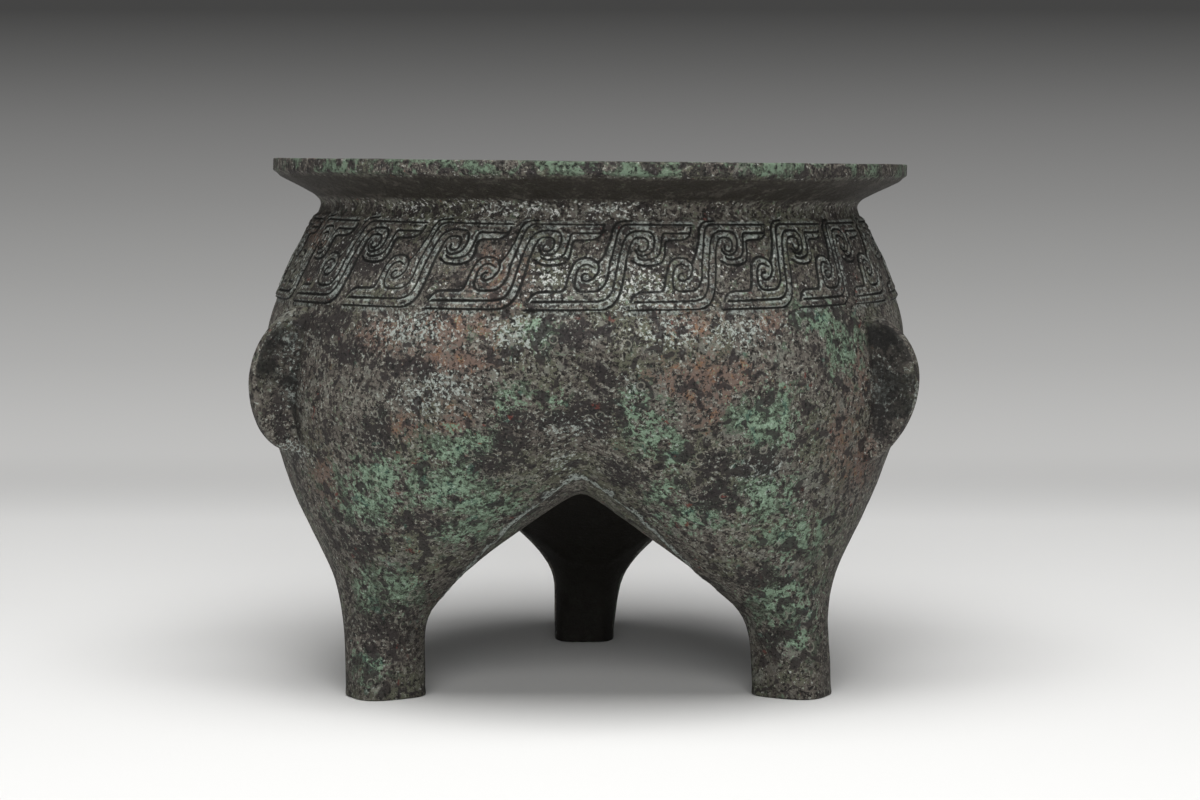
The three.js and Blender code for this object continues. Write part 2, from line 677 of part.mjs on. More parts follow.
// The legs aren't quite true: they stand a little clockwise of their places below the belly,
// and the feet a little the other way and to the right
function twistLegs(geometry) {
  const position = geometry.attributes.position;
  const point = new THREE.Vector3();
  const axis = new THREE.Vector3(0, 0, 1);
  for (let i = 0; i < position.count; i += 1) {
    point.fromBufferAttribute(position, i);
    const above = smoothStep(0, LEG_TWIST_HEIGHT, point.z);
    const below = 1 - smoothStep(LEG_TWIST_HEIGHT, SHOULDER_HEIGHT, point.z);
    point.applyAxisAngle(axis, (FOOT_TWIST + (LEG_TWIST - FOOT_TWIST) * above) * below);
    position.setXYZ(i, point.x + FOOT_SHIFT * (1 - above), point.y, point.z);
  }
}

// The rim sits a little to the right of the belly and stands higher on its left
function leanRim(geometry) {
  const position = geometry.attributes.position;
  for (let i = 0; i < position.count; i += 1) {
    const share = (position.getZ(i) - SHOULDER_HEIGHT) / (HEIGHT - SHOULDER_HEIGHT);
    if (share <= 0) continue;
    position.setZ(i, position.getZ(i) - RIM_LEAN * position.getX(i) * share);
    position.setX(i, position.getX(i) + RIM_SHIFT * share);
  }
}

const bronze = new THREE.MeshStandardMaterial({
  name: 'patinated bronze',
  color: new THREE.Color(0x4d4f47),
  roughness: 0.72,
  metalness: 0.35,
});

const li = new THREE.Mesh(casting(), bronze);
li.name = 'li_tripod';
// The rear flange reaches further back than the rim reaches forward
li.position.y = (RIM_RADIUS - SHOULDER_RADIUS - FLANGE_REACH * FLANGES[0].reach) / 2;

const model = new THREE.Group();
model.add(li);
export default model;
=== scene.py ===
# %% [markdown]
# # A bronze li, cast in one piece
#
# A li is a cooking tripod. This one is a single bronze casting: an everted rim, a narrow neck,
# a sloping shoulder with a frieze of hooked scrolls, and three hollow lobes that run down into
# short feet. A half-moon flange stands on each lobe. The CAD model holds its true form with
# few faces. Here the same form is made again as one dense mesh, so that the grooves of the
# frieze, the worn edges and the unevenness of an old casting are real relief, and the surface
# gets its patina.

import math

import bpy
import numpy as np
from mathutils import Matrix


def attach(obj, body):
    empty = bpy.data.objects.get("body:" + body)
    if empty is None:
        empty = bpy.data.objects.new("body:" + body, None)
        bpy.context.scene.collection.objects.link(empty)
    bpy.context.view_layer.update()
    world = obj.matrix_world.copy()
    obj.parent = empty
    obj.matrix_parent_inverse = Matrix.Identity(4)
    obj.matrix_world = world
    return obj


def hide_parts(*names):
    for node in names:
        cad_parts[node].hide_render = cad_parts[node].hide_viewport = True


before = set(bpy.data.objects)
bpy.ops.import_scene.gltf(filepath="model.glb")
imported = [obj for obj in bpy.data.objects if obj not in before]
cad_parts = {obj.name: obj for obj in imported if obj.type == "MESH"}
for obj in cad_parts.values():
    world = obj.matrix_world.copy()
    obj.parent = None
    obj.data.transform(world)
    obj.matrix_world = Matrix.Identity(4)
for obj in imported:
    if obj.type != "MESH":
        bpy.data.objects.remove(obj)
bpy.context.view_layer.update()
MM = 0.001

# %% [markdown]
# ## The sizes of the vessel
#
# The CAD source isn't at hand here, so the sizes that set the form are named again, in
# millimetres. They could be measured from the imported mesh, but named sizes keep the
# curves smooth, because each surface is worked out from a formula and not from facets.

# %% Sizes
HEIGHT = 130
RIM_RADIUS = 80
LIP_HEIGHT = 4.8
LIP_BEVEL = 1.8
RIM_FLAT = 1.6
RIM_MOUTH_DEPTH = 7.6
RIM_UNDER_SLOPE = math.radians(27)
RIM_LEAN = 0.0105
RIM_SHIFT = 1.2
NECK_RADIUS = 67.9
NECK_DEPTH = 10.9
NECK_FILLET = 1.6
FRIEZE_TOP = 116.8
FRIEZE_FOOT = 95.6
FRIEZE_TOP_RADIUS = 68.6
FRIEZE_FOOT_RADIUS = 78.3
FRIEZE_BULGE = 0.6
SHOULDER_HEIGHT = 88
SHOULDER_RADIUS = 80.2
WALL = 2.6
LEG_FLOOR = 25
FOOT_CENTRE = 57
FOOT_HALF_WIDTH = 8
FOOT_HALF_DEPTH = 9.4
FOOT_SQUARENESS = 0.9
FOOT_EDGE = 0.5
LEG_TAPER = 0.068
ANKLE_HEIGHT = 19.5
ANKLE_RADIUS = 67.2
ANKLE_SOFTNESS = 2.5
LEG_LEAN = 0.46
LEG_TWIST = math.radians(-2)
LEG_TWIST_HEIGHT = 38
FOOT_TWIST = math.radians(0.8)
FOOT_SHIFT = 0.4
INNER_FACE_SHARE = 0.96
INNER_FACE_FADE = 0.15
CROTCH_HEIGHT = 51
CROTCH_RADIUS = 46
CROTCH_SLOPE = 0.9
CROTCH_ROUNDING = 2.2
VALLEY_ROUNDING = 1.6
SECTOR = 2 * math.pi / 3
AXIS_Y = -5.75
REAR = math.pi / 2
SHOULDER_SWELL = 1.3
CREASE_RADIUS = 45
CREASE_WIDENING = 8
CREASE_HEIGHTS = (24, 58)
print("height and rim across in mm:", HEIGHT, 2 * RIM_RADIUS)

# %% [markdown]
# ## Curves that shape the lobes
#
# Each level of a lobe is an ellipse. Its centre slides from the foot to the middle of the
# vessel as it grows, and three such lobes melt into one round shoulder. The form is written
# as a field: a number for every point in space that is negative inside the bronze. A field
# is easy to blend and to thicken, where a mesh would need hand sculpting.

# %% Small curve helpers


def soft_ramp(x, softness):
    return softness * np.logaddexp(0, x / softness)


def smooth_step(low, high, x):
    """0 below low, 1 above high, and the other way round when low is the greater."""
    share = np.clip((x - low) / (high - low), 0, 1)
    return share * share * (3 - 2 * share)


def curve_through(points):
    """A smooth curve through a few points, as a function of the first coordinate."""
    px, py = np.array(points, float).T
    before = np.maximum(np.arange(len(px)) - 1, 0)
    after = np.minimum(np.arange(len(px)) + 1, len(px) - 1)
    slopes = (py[after] - py[before]) / (px[after] - px[before])

    def curve(x):
        i = np.clip(np.searchsorted(px, x, side="right") - 1, 0, len(px) - 2)
        span = px[i + 1] - px[i]
        t = np.clip((x - px[i]) / span, 0, 1)
        rise = py[i] + (py[i + 1] - py[i]) * t * t * (3 - 2 * t)
        return rise + span * (slopes[i] * t * (1 - t) ** 2 - slopes[i + 1] * t * t * (1 - t))

    return curve


print("a soft ramp at -4, 0 and 4:", soft_ramp(np.array([-4.0, 0, 4]), 2).round(2))

# %% [markdown]
# ## One lobe as a field
#
# A leg leans in and then swells into the shoulder, so its middle, its half width and its crest
# are each a curve over the height. The vault between the legs is a bowl that melts into the
# lobes, and the hollow inside is the same field moved in by the wall.

# %% The lobes as a field
LEG_SPAN = SHOULDER_HEIGHT - ANKLE_HEIGHT
FLARE = (SHOULDER_RADIUS - FOOT_HALF_WIDTH - LEG_TAPER * SHOULDER_HEIGHT) / LEG_SPAN
LATE_SHIFT = FOOT_CENTRE - LEG_LEAN * LEG_SPAN
crest_rise = curve_through(
    [(0, 0), (0.11, 0.04), (0.2, 0.19), (0.36, 0.56), (0.52, 0.84), (0.66, 1.04), (0.8, 1.13), (1, 1)]
)


def lobe_centre(height):
    share = np.maximum((height - ANKLE_HEIGHT) / LEG_SPAN, 0)
    lean = LEG_LEAN * soft_ramp(height - ANKLE_HEIGHT, ANKLE_SOFTNESS)
    return FOOT_CENTRE - lean - LATE_SHIFT * share**4


def lobe_half_width(height):
    return FOOT_HALF_WIDTH + LEG_TAPER * height + FLARE * soft_ramp(height - ANKLE_HEIGHT, ANKLE_SOFTNESS)


def crest_radius(height):
    foot = FOOT_CENTRE + FOOT_HALF_DEPTH
    low = foot + (ANKLE_RADIUS - foot) * height / ANKLE_HEIGHT
    rise = crest_rise((height - ANKLE_HEIGHT) / LEG_SPAN)
    high = ANKLE_RADIUS + (SHOULDER_RADIUS - ANKLE_RADIUS) * rise
    return np.where(height < ANKLE_HEIGHT, low, high)


def lobe_field(radial, tangent, height):
    centre = lobe_centre(height)
    depth = crest_radius(height) - centre
    width = lobe_half_width(height)
    power = 2 + FOOT_SQUARENESS * (1 - smooth_step(0, ANKLE_HEIGHT, height))
    a = np.abs(radial - centre) / depth
    b = np.abs(tangent) / width
    reach = np.maximum((a**power + b**power) ** (1 / power), 1e-6)
    slope = np.hypot(a ** (power - 1) / depth, b ** (power - 1) / width) / reach ** (power - 1)
    around = (reach - 1) / np.maximum(slope, 1e-6)
    face_share = INNER_FACE_SHARE + INNER_FACE_FADE * soft_ramp(height - ANKLE_HEIGHT, ANKLE_SOFTNESS)
    face = centre - depth * face_share - radial
    return soft_ramp(face - around, 0.6) + around


def body_field(p):
    x, y, height = p[..., 0], p[..., 1], p[..., 2]
    side = np.minimum(CROTCH_RADIUS + CROTCH_SLOPE * (height - CROTCH_HEIGHT), SHOULDER_RADIUS - 2)
    wall = (np.hypot(x, y) - side) / math.hypot(1, CROTCH_SLOPE)
    floor = CROTCH_HEIGHT - height
    bowl = soft_ramp(wall - floor, CROTCH_ROUNDING) + floor
    fade = smooth_step(CROTCH_HEIGHT, SHOULDER_HEIGHT, height)
    rounding = VALLEY_ROUNDING + (0.03 - VALLEY_ROUNDING) * fade
    parts = [-bowl / rounding]
    for i in range(3):
        c, s = math.cos(i * SECTOR), math.sin(i * SECTOR)
        parts.append(-lobe_field(x * c + y * s, y * c - x * s, height) / rounding)
    return -rounding * np.logaddexp.reduce(parts)


def hollow_field(p):
    step = 0.05
    value = body_field(p)
    shifts = [body_field(p + step * np.eye(3)[k]) - value for k in range(3)]
    slope = np.sqrt(sum(shift**2 for shift in shifts)) / step
    side = value / np.maximum(slope, 0.2) + WALL
    floor = LEG_FLOOR - p[..., 2]
    return soft_ramp(side - floor, 1.2) + floor


def cast_rays(origins, directions, field):
    """Where rays that start inside meet the surface. All rays are followed at once."""
    stride = 2.0
    reach = np.full(len(directions), stride)
    going = np.arange(len(directions))
    while len(going) and reach.max() < 220:
        points = origins[going] + directions[going] * reach[going, None]
        going = going[field(points) < 0]
        reach[going] += stride
    near, far = reach - stride, reach.copy()
    for _ in range(20):
        middle = (near + far) / 2
        inside = field(origins + directions * middle[:, None]) < 0
        near = np.where(inside, middle, near)
        far = np.where(inside, far, middle)
    return origins + directions * ((near + far) / 2)[:, None]


print("crest radii at 20, 50, 80 mm:", crest_radius(np.array([20.0, 50.0, 80.0])).round(1))

# %% [markdown]
# ## A skin made of rings
#
# The whole casting is one closed skin. It starts under a foot, climbs the lobe, the frieze
# and the rim, rolls over the lip and runs down inside to the bottom of each lobe. Rings with
# the same number of points are joined by quads. Where the frieze needs finer columns than
# the belly, the two rings are joined by triangles instead.

# %% Rings and strips


class Skin:
    def __init__(self):
        self.points = []
        self.quads = []
        self.triangles = []
        self.count = 0

    def ring(self, points):
        points = np.asarray(points, float)
        self.points.append(points)
        self.count += len(points)
        return np.arange(self.count - len(points), self.count)

    def strip(self, low, high):
        if len(low) == len(high):
            self.quads.append(np.stack([low, np.roll(low, -1), np.roll(high, -1), high], 1))
            return
        i = j = 0
        while i < len(low) or j < len(high):
            a, b = low[i % len(low)], high[j % len(high)]
            if (i + 1) * len(high) <= (j + 1) * len(low):
                i += 1
                self.triangles.append([a, low[i % len(low)], b])
            else:
                j += 1
                self.triangles.append([a, high[j % len(high)], b])

    def fan(self, ring, middle):
        tip = self.ring([middle])[0]
        for a, b in zip(ring, np.roll(ring, -1)):
            self.triangles.append([a, b, tip])


def turned(points, angle):
    c, s = math.cos(angle), math.sin(angle)
    x, y = points[:, 0].copy(), points[:, 1].copy()
    return np.stack([x * c - y * s, x * s + y * c, points[:, 2]], 1)


def circle(radius, height, steps, start=0.0):
    angle = start + 2 * math.pi * np.arange(steps) / steps
    return np.stack([radius * np.cos(angle), radius * np.sin(angle), np.full(steps, float(height))], 1)


def mirrored(half):
    back = half[1:-1][::-1] * [1, -1, 1]
    return np.vstack([half, back])


def unit(vectors):
    return vectors / np.linalg.norm(vectors, axis=1, keepdims=True)


print("four points of a ring:", circle(1, 0, 4).round(2).tolist())

# %% [markdown]
# ## One lobe, as rings
#
# A lobe's first ring is its border with its neighbours: a third of the shoulder, the two
# valleys, and the middle of the vaulted underside. Rays from a point inside the lobe, fanned
# from that border down to the leg, find the skin row by row.

# %% Lobe rings
LOBE_HEART = np.array([0.42 * RIM_RADIUS, 0, (CROTCH_HEIGHT + SHOULDER_HEIGHT) / 2])
EDGE_HEART_RADIUS = 0.25 * RIM_RADIUS
EDGE_HEART_HEIGHT = 0.86 * SHOULDER_HEIGHT


def lobe_border(field, radius, shoulder_steps, valley_steps, vault_steps):
    half = SECTOR / 2
    shoulder = circle(radius, SHOULDER_HEIGHT, 6 * shoulder_steps)[: shoulder_steps + 1]
    out = np.array([math.cos(half), math.sin(half), 0])
    heart = out * EDGE_HEART_RADIUS + [0, 0, EDGE_HEART_HEIGHT]
    start = math.atan2(SHOULDER_HEIGHT - heart[2], radius - EDGE_HEART_RADIUS)
    corner = math.atan2(CROTCH_HEIGHT - heart[2], CROTCH_RADIUS - EDGE_HEART_RADIUS)
    end = math.atan2(CROTCH_HEIGHT + 2 - heart[2], -EDGE_HEART_RADIUS)
    angles = np.concatenate([
        start + (corner - start) * np.arange(1, valley_steps) / valley_steps,
        corner + (end - corner) * np.arange(vault_steps) / vault_steps,
    ])
    directions = out * np.cos(angles)[:, None] + np.array([0, 0, 1]) * np.sin(angles)[:, None]
    valley = cast_rays(np.tile(heart, (len(angles), 1)), directions, field)
    middle = cast_rays(np.array([[0, 0, heart[2]]]), np.array([[0.0, 0, -1]]), field)
    return np.vstack([shoulder, valley, middle])


def lobe_rings(field, radius, steps, rows, levels):
    border = lobe_border(field, radius, *steps)
    count = len(border)
    spread = math.pi * np.arange(count) / (count - 1)
    top = levels[0]
    centre = np.array([lobe_centre(top), 0, top])
    low = np.stack([
        (crest_radius(top) - centre[0]) * np.cos(spread),
        lobe_half_width(top) * np.sin(spread),
        np.zeros(count),
    ], 1) + centre
    high_way, low_way = unit(border - LOBE_HEART), unit(low - LOBE_HEART)
    shares = np.arange(1, rows + 1)[:, None, None] / (rows + 1)
    ways = high_way[None] * (1 - shares) + low_way[None] * shares
    ways = unit(ways.reshape(-1, 3))
    found = cast_rays(np.tile(LOBE_HEART, (len(ways), 1)), ways, field).reshape(rows, count, 3)
    rings = [mirrored(border)] + [mirrored(row) for row in found]
    around = np.stack([np.cos(spread), np.sin(spread), 0 * spread], 1)
    for level in levels:
        origin = np.tile([lobe_centre(level), 0, level], (count, 1))
        rings.append(mirrored(cast_rays(origin, around, field)))
    return rings


skin = Skin()
SHOULDER_STEPS = 36
OUTSIDE_STEPS = (SHOULDER_STEPS, 17, 10)
LOBE_ROWS = 34
LEG_TOP = 0.68 * CROTCH_HEIGHT
leg_levels = np.linspace(LEG_TOP, FOOT_EDGE, 20)
outer = lobe_rings(body_field, SHOULDER_RADIUS, OUTSIDE_STEPS, LOBE_ROWS, leg_levels)
foot_middle = np.array([FOOT_CENTRE, 0, 0])
for inset, height in ((0.25 * FOOT_EDGE, 0.3 * FOOT_EDGE), (FOOT_EDGE, 0)):
    rim = outer[len(leg_levels) + LOBE_ROWS].copy()
    inward = foot_middle - rim
    inward[:, 2] = 0
    rim += unit(inward) * inset
    rim[:, 2] = height
    outer.append(rim)
print("points in a lobe ring:", len(outer[0]), "rings:", len(outer))

# %% [markdown]
# ## Join the three lobes
#
# The three lobes share the points of their borders. Each point is given its number once,
# by its rounded place, so that the finished skin has no gaps along the valleys.

# %% Weld lobes
shared = {}


def welded_ring(points):
    """Points on a border are used again where another lobe has made them."""
    numbers = np.empty(len(points), int)
    for k, point in enumerate(points):
        key = tuple(np.round(point, 2) + 0.0)
        if key not in shared:
            shared[key] = skin.ring([point])[0]
        numbers[k] = shared[key]
    return numbers


def add_lobes(rings, inside):
    borders = []
    shared.clear()
    for lobe in range(3):
        placed = [turned(ring, lobe * SECTOR) for ring in rings]
        numbers = [welded_ring(placed[0])] + [skin.ring(ring) for ring in placed[1:]]
        borders.append(numbers[0])
        for upper, lower in zip(numbers, numbers[1:]):
            skin.strip(upper, lower) if inside else skin.strip(lower, upper)
        middle = placed[-1].mean(0)
        skin.fan(numbers[-1] if inside else numbers[-1][::-1], middle)
    return borders


def shoulder_ring(borders, steps):
    """The shoulder's points in order round the vessel, starting on the first lobe's crest."""
    whole = []
    for lobe in range(3):
        whole.extend(borders[lobe][: steps + 1])
        whole.extend(borders[(lobe + 1) % 3][-steps + 1 :])
    return np.array(whole)


outer_borders = add_lobes(outer, inside=False)
shoulder = shoulder_ring(outer_borders, SHOULDER_STEPS)
print("shoulder points:", len(shoulder), "expected", 6 * SHOULDER_STEPS)

# %% [markdown]
# ## The frieze
#
# Twenty-one scrolls run round the shoulder, seven over each lobe. Three ribs climb together in
# the middle of a scroll: one curls in under the bar at the top left, one runs from bar to bar,
# and one curls in at the top right. The ribs were cut in the mould with a narrow line between
# each pair, and the ground beside them lies lower. So the relief is drawn as lines here, in
# millimetres along and up from a scroll's middle. The mesh is laid along those lines, with
# points on both edges and in the bottom of every groove, because a plain grid would need
# many times the faces to keep such narrow grooves sharp.

# %% One scroll's grooves
from mathutils import Vector
from mathutils.geometry import delaunay_2d_cdt

PITCH = 22.1
BAND_HALF = 11.9
FOOT_LINE = [
    (-19.6, -11.5), (-12, -11.45), (-5.2, -11.4), (-3.4, -11.25), (-2.2, -10.85), (-1.0, -9.95),
    (-0.1, -8.7), (0.5, -7.2), (1.0, -5.2), (1.5, -2.8), (1.9, -0.6), (2.25, 1.5), (2.65, 3.3),
    (3.05, 4.7), (3.5, 5.8), (4.1, 6.65), (4.9, 7.05), (6.0, 7.1), (7.0, 6.85), (7.5, 6.1),
    (7.5, 5.0), (7.1, 4.1), (6.4, 3.6), (5.6, 3.6), (5.1, 4.2), (5.3, 5.0),
]
MIDDLE_LINE = [
    (-18.3, -9.3), (-12, -9.2), (-5.2, -9.1), (-3.7, -8.9), (-2.4, -8.3), (-1.5, -7.1),
    (-0.95, -5.6), (-0.55, -3.6), (-0.25, -1.6), (0.1, 0.2), (0.5, 2.0), (0.9, 3.6), (1.35, 5.2),
    (1.8, 6.4), (2.4, 7.4), (3.2, 8.15), (4.3, 8.65), (5.6, 8.8), (7, 8.75), (8.2, 8.5), (8.95, 7.7),
    (9.15, 6.5), (9.0, 5.2), (8.6, 4.1), (7.9, 3.2), (6.9, 2.7), (5.7, 2.5), (4.8, 2.9), (4.3, 3.8),
]
SIDE_LINE = [
    (19.3, 10.4), (10, 10.45), (4, 10.5), (2.4, 10.4), (1.4, 9.95), (0.8, 9.2), (0.35, 8.2),
    (0.05, 7.2), (-0.4, 5.4), (-0.8, 3.8), (-1.15, 2.4), (-1.6, 0.8), (-1.85, -0.6), (-2.0, -2),
    (-2.35, -3.7), (-3.2, -5.3), (-4.4, -6.35), (-6, -6.65), (-7.9, -6.6), (-8.9, -6.1),
    (-9.35, -5.1), (-9.35, -3.4), (-9.0, -1.7), (-8.4, -0.5), (-7.5, 0.15), (-6.5, 0.2), (-5.7, -0.3),
]
LOWER_CURL_LINE = [
    (-19.2, -8.9), (-18.7, -8.0), (-17.9, -7.2), (-16.6, -6.75), (-13.5, -6.7), (-12.2, -6.55),
    (-11.6, -5.8), (-11.3, -4.6), (-10.95, -3), (-10.5, -1.3), (-9.9, 0.3), (-9.1, 1.3), (-8.1, 1.85),
    (-7.0, 2.0), (-5.8, 1.75), (-4.85, 1.1), (-4.3, 0.2), (-4.2, -0.9), (-4.6, -2.1), (-5.3, -3.1),
    (-6.1, -3.7), (-7.0, -4.0), (-7.8, -3.7), (-8.0, -2.9), (-7.5, -2.2), (-6.8, -2.1),
]
RISE_LINE = [
    (3.5, 11.5), (1.6, 11.4), (0.5, 11.0), (-0.3, 10.2), (-0.9, 9.1), (-1.25, 7.7), (-1.7, 6.1),
    (-2.2, 4.8), (-2.75, 3.3), (-3.35, 2.0), (-4.3, 0.6),
]
UPPER_CURL_LINE = [
    (18.5, 8.2), (14, 8.15), (11.9, 8.2), (11.3, 7.6), (10.95, 6.3), (10.6, 4.7), (10.2, 3.3),
    (9.5, 2.3), (8.5, 1.75), (7.3, 1.45), (6.2, 1.35), (5.3, 1.6), (4.8, 2.1),
]
TONGUE_LINE = [
    (19.0, 9.6), (18.9, 8.7), (18.4, 7.6), (17.6, 6.9), (16.5, 6.5), (15, 6.35), (12.7, 6.3), (11.9, 5.7),
    (11.65, 4.4), (11.45, 2.9), (11.0, 1.5), (10.3, 0.6), (9.3, 0.15), (8.0, -0.1), (6.6, -0.1),
    (5.2, 0.1), (4.3, 0.5), (3.6, 1.1),
]
LOWER_GROUND = [
    (3.3, 5.0), (2.65, 3.3), (2.25, 1.5), (1.9, -0.6), (1.5, -2.8), (1.0, -5.2), (0.5, -7.2),
    (-0.1, -8.7), (-1.0, -9.95), (-2.2, -10.85), (-2.4, -11.3), (2.5, -11.4), (2.7, -10.2), (2.9, -8.9),
    (3.4, -8.0), (4.2, -7.2), (5.5, -6.75), (8.6, -6.7), (9.9, -6.55), (10.5, -5.8), (10.8, -4.6),
    (11.15, -3), (11.6, -1.3), (12.2, 0.3), (11.2, 2.0), (11.0, 1.5), (10.3, 0.6), (9.3, 0.15),
    (8.0, -0.1), (6.6, -0.1), (5.2, 0.1), (4.3, 0.5), (3.9, 1.1), (4.2, 2.4), (4.1, 3.8), (3.9, 4.9),
]
UPPER_GROUND = [
    (-3.1, 9.9), (-3.3, 8.4), (-4.1, 7.2), (-5.6, 6.5), (-7.1, 6.35), (-9.4, 6.3), (-10.2, 5.7),
    (-10.45, 4.4), (-10.65, 2.9), (-10.9, 1.9), (-10.2, 0.1), (-9.1, 1.3), (-8.1, 1.85), (-7.0, 2.0),
    (-5.8, 1.75), (-4.85, 1.1), (-4.3, 0.6), (-3.35, 2.0), (-2.75, 3.3), (-2.2, 4.8), (-1.7, 6.1),
    (-1.25, 7.7), (-0.9, 9.1), (-0.3, 10.2),
]


def smoothed(line, steps=4):
    """A finer line through the points, without corners."""
    p = np.array(line, float)
    ends = np.vstack([2 * p[0] - p[1], p, 2 * p[-1] - p[-2]])
    t = (np.arange(steps) / steps)[:, None]
    pieces = []
    for a, b, c, d in zip(ends, ends[1:], ends[2:], ends[3:]):
        bend = 2 * a - 5 * b + 4 * c - d
        swing = 3 * b - a - 3 * c + d
        pieces.append(0.5 * (2 * b + (c - a) * t + bend * t**2 + swing * t**3))
    return np.vstack(pieces + [p[-1:]])


def spaced(line, step):
    """The same line with evenly spaced points."""
    along = np.concatenate([[0], np.cumsum(np.hypot(*np.diff(line, axis=0).T))])
    at = np.linspace(0, along[-1], max(int(round(along[-1] / step)), 1) + 1)
    return np.stack([np.interp(at, along, line[:, 0]), np.interp(at, along, line[:, 1])], 1)


def line_distance(u, v, line):
    best = np.full(u.shape, 1e9)
    for (ax, ay), (bx, by) in zip(line, line[1:]):
        dx, dy = bx - ax, by - ay
        t = np.clip(((u - ax) * dx + (v - ay) * dy) / (dx * dx + dy * dy + 1e-12), 0, 1)
        best = np.minimum(best, np.hypot(u - ax - t * dx, v - ay - t * dy))
    return best


def inside_distance(u, v, outline):
    """Distance to a closed outline, positive inside."""
    closed = np.vstack([outline, outline[:1]])
    inside = np.zeros(u.shape, bool)
    for (ax, ay), (bx, by) in zip(closed, closed[1:]):
        if by != ay:
            inside ^= ((ay > v) != (by > v)) & (u < ax + (v - ay) * (bx - ax) / (by - ay))
    return np.where(inside, 1, -1) * line_distance(u, v, closed)


scroll_lines = [
    smoothed(line)
    for line in (FOOT_LINE, MIDDLE_LINE, SIDE_LINE, LOWER_CURL_LINE, RISE_LINE, UPPER_CURL_LINE, TONGUE_LINE)
]
length = sum(np.hypot(*np.diff(line, axis=0).T).sum() for line in scroll_lines)
print("grooves in a scroll, in mm:", round(length))

# %% [markdown]
# ## Faces that follow the grooves
#
# One cell of the frieze is filled with triangles that have every groove's bottom and both of
# its edges as their sides. The cell is cut where the grooves cross its side nearly squarely,
# and its two sides have the same points, so that the cells join into a closed band.

# %% One scroll's cell
CELL_LEFT = -14.0
GROOVE_HALF = 0.40
GROOVE_STEP = 0.55
FILL_STEP = 0.92
CELL_EDGE_POINTS = 30
cell_right = CELL_LEFT + PITCH


def offset(line, side):
    way = np.gradient(line, axis=0)
    way /= np.hypot(way[:, 0], way[:, 1])[:, None]
    return line + side * np.stack([-way[:, 1], way[:, 0]], 1)


def clipped(line, low, high):
    """The parts of a line between two uprights, cut exactly on them."""
    parts, part = [], []
    for a, b in zip(line, line[1:]):
        cuts = [(edge - a[0]) / (b[0] - a[0]) for edge in (low, high) if (a[0] - edge) * (b[0] - edge) < 0]
        stops = [a] + [a + (b - a) * t for t in sorted(cuts)] + [b]
        for p, q in zip(stops, stops[1:]):
            if low < (p[0] + q[0]) / 2 < high:
                part = part or [p]
                part.append(q)
            elif part:
                parts.append(np.array(part))
                part = []
    return parts + ([np.array(part)] if part else [])


pieces = []
for line in scroll_lines:
    even = spaced(line, GROOVE_STEP)
    for side in (-GROOVE_HALF, 0, GROOVE_HALF):
        for shift in (-PITCH, 0, PITCH):
            pieces += clipped(offset(even, side) + [shift, 0], CELL_LEFT, cell_right)
groove_ends = [end for part in pieces for end in (part[0], part[-1])]
side_levels = {round(float(v), 4) for u, v in groove_ends if abs(u - cell_right) < 1e-6}
for level in np.arange(-BAND_HALF, BAND_HALF + 0.01, BAND_HALF / 14):
    if all(abs(level - other) > 0.35 for other in side_levels) or abs(level) > BAND_HALF - 0.01:
        side_levels.add(round(float(level), 4))
side_levels = np.array(sorted(side_levels))
cell_points, cell_edges = [], []


def add_line(line):
    first = len(cell_points)
    cell_points.extend(Vector((round(float(u), 5), round(float(v), 4))) for u, v in line)
    cell_edges.extend((first + k, first + k + 1) for k in range(len(line) - 1))


for part in pieces:
    add_line(part)
for u in (CELL_LEFT, cell_right):
    add_line([(u, v) for v in side_levels])
edge_u = CELL_LEFT + PITCH * np.arange(CELL_EDGE_POINTS + 1) / CELL_EDGE_POINTS
for v in (-BAND_HALF, BAND_HALF):
    add_line([(u, v) for u in edge_u])
fill_rows = np.arange(-BAND_HALF + 0.6, BAND_HALF - 0.5, FILL_STEP * 0.866)
fill = np.array([
    (u + (row % 2) * FILL_STEP / 2, v)
    for row, v in enumerate(fill_rows)
    for u in np.arange(CELL_LEFT + 0.5, cell_right - 0.75, FILL_STEP)
])
taken = np.array([tuple(p) for p in cell_points])
near = np.min(np.hypot(fill[:, None, 0] - taken[None, :, 0], fill[:, None, 1] - taken[None, :, 1]), axis=1)
cell_points.extend(Vector((float(u), float(v))) for u, v in fill[near > 0.42])
found = delaunay_2d_cdt(cell_points, cell_edges, [], 0, 1e-3, False)
cell = np.array([tuple(p) for p in found[0]])
cell_faces = np.array(found[2])
a, b, c = cell[cell_faces[:, 0]], cell[cell_faces[:, 1]], cell[cell_faces[:, 2]]
area = ((b[:, 0] - a[:, 0]) * (c[:, 1] - a[:, 1]) - (b[:, 1] - a[:, 1]) * (c[:, 0] - a[:, 0])) / 2
cell_faces = np.where((area < 0)[:, None], cell_faces[:, ::-1], cell_faces)[np.abs(area) > 1e-6]
groove_distance = np.full(len(cell), 1e9)
ground_distance = np.full(len(cell), -1e9)
for shift in (-PITCH, 0, PITCH):
    for line in scroll_lines:
        groove_distance = np.minimum(groove_distance, line_distance(cell[:, 0] - shift, cell[:, 1], line))
    for outline in (LOWER_GROUND, UPPER_GROUND):
        inside = inside_distance(cell[:, 0] - shift, cell[:, 1], smoothed(outline))
        ground_distance = np.maximum(ground_distance, inside)
print("one cell:", len(cell), "points,", len(cell_faces), "triangles")

# %% [markdown]
# ## Noise for wear and corrosion
#
# Nothing on a casting this old is even. A small value noise, seeded by numbers, roughens the
# surface and fades the grooves in places, the same way each time the script runs.

# %% Value noise


def lattice(cell, seed):
    h = cell[..., 0] * 374761393 + cell[..., 1] * 668265263 + cell[..., 2] * 2147483647 + seed * 1274126177
    h = (h ^ (h >> 13)) * 1274126177
    h = (h ^ (h >> 16)) & 0xFFFFFF
    return h / 0x7FFFFF - 1.0


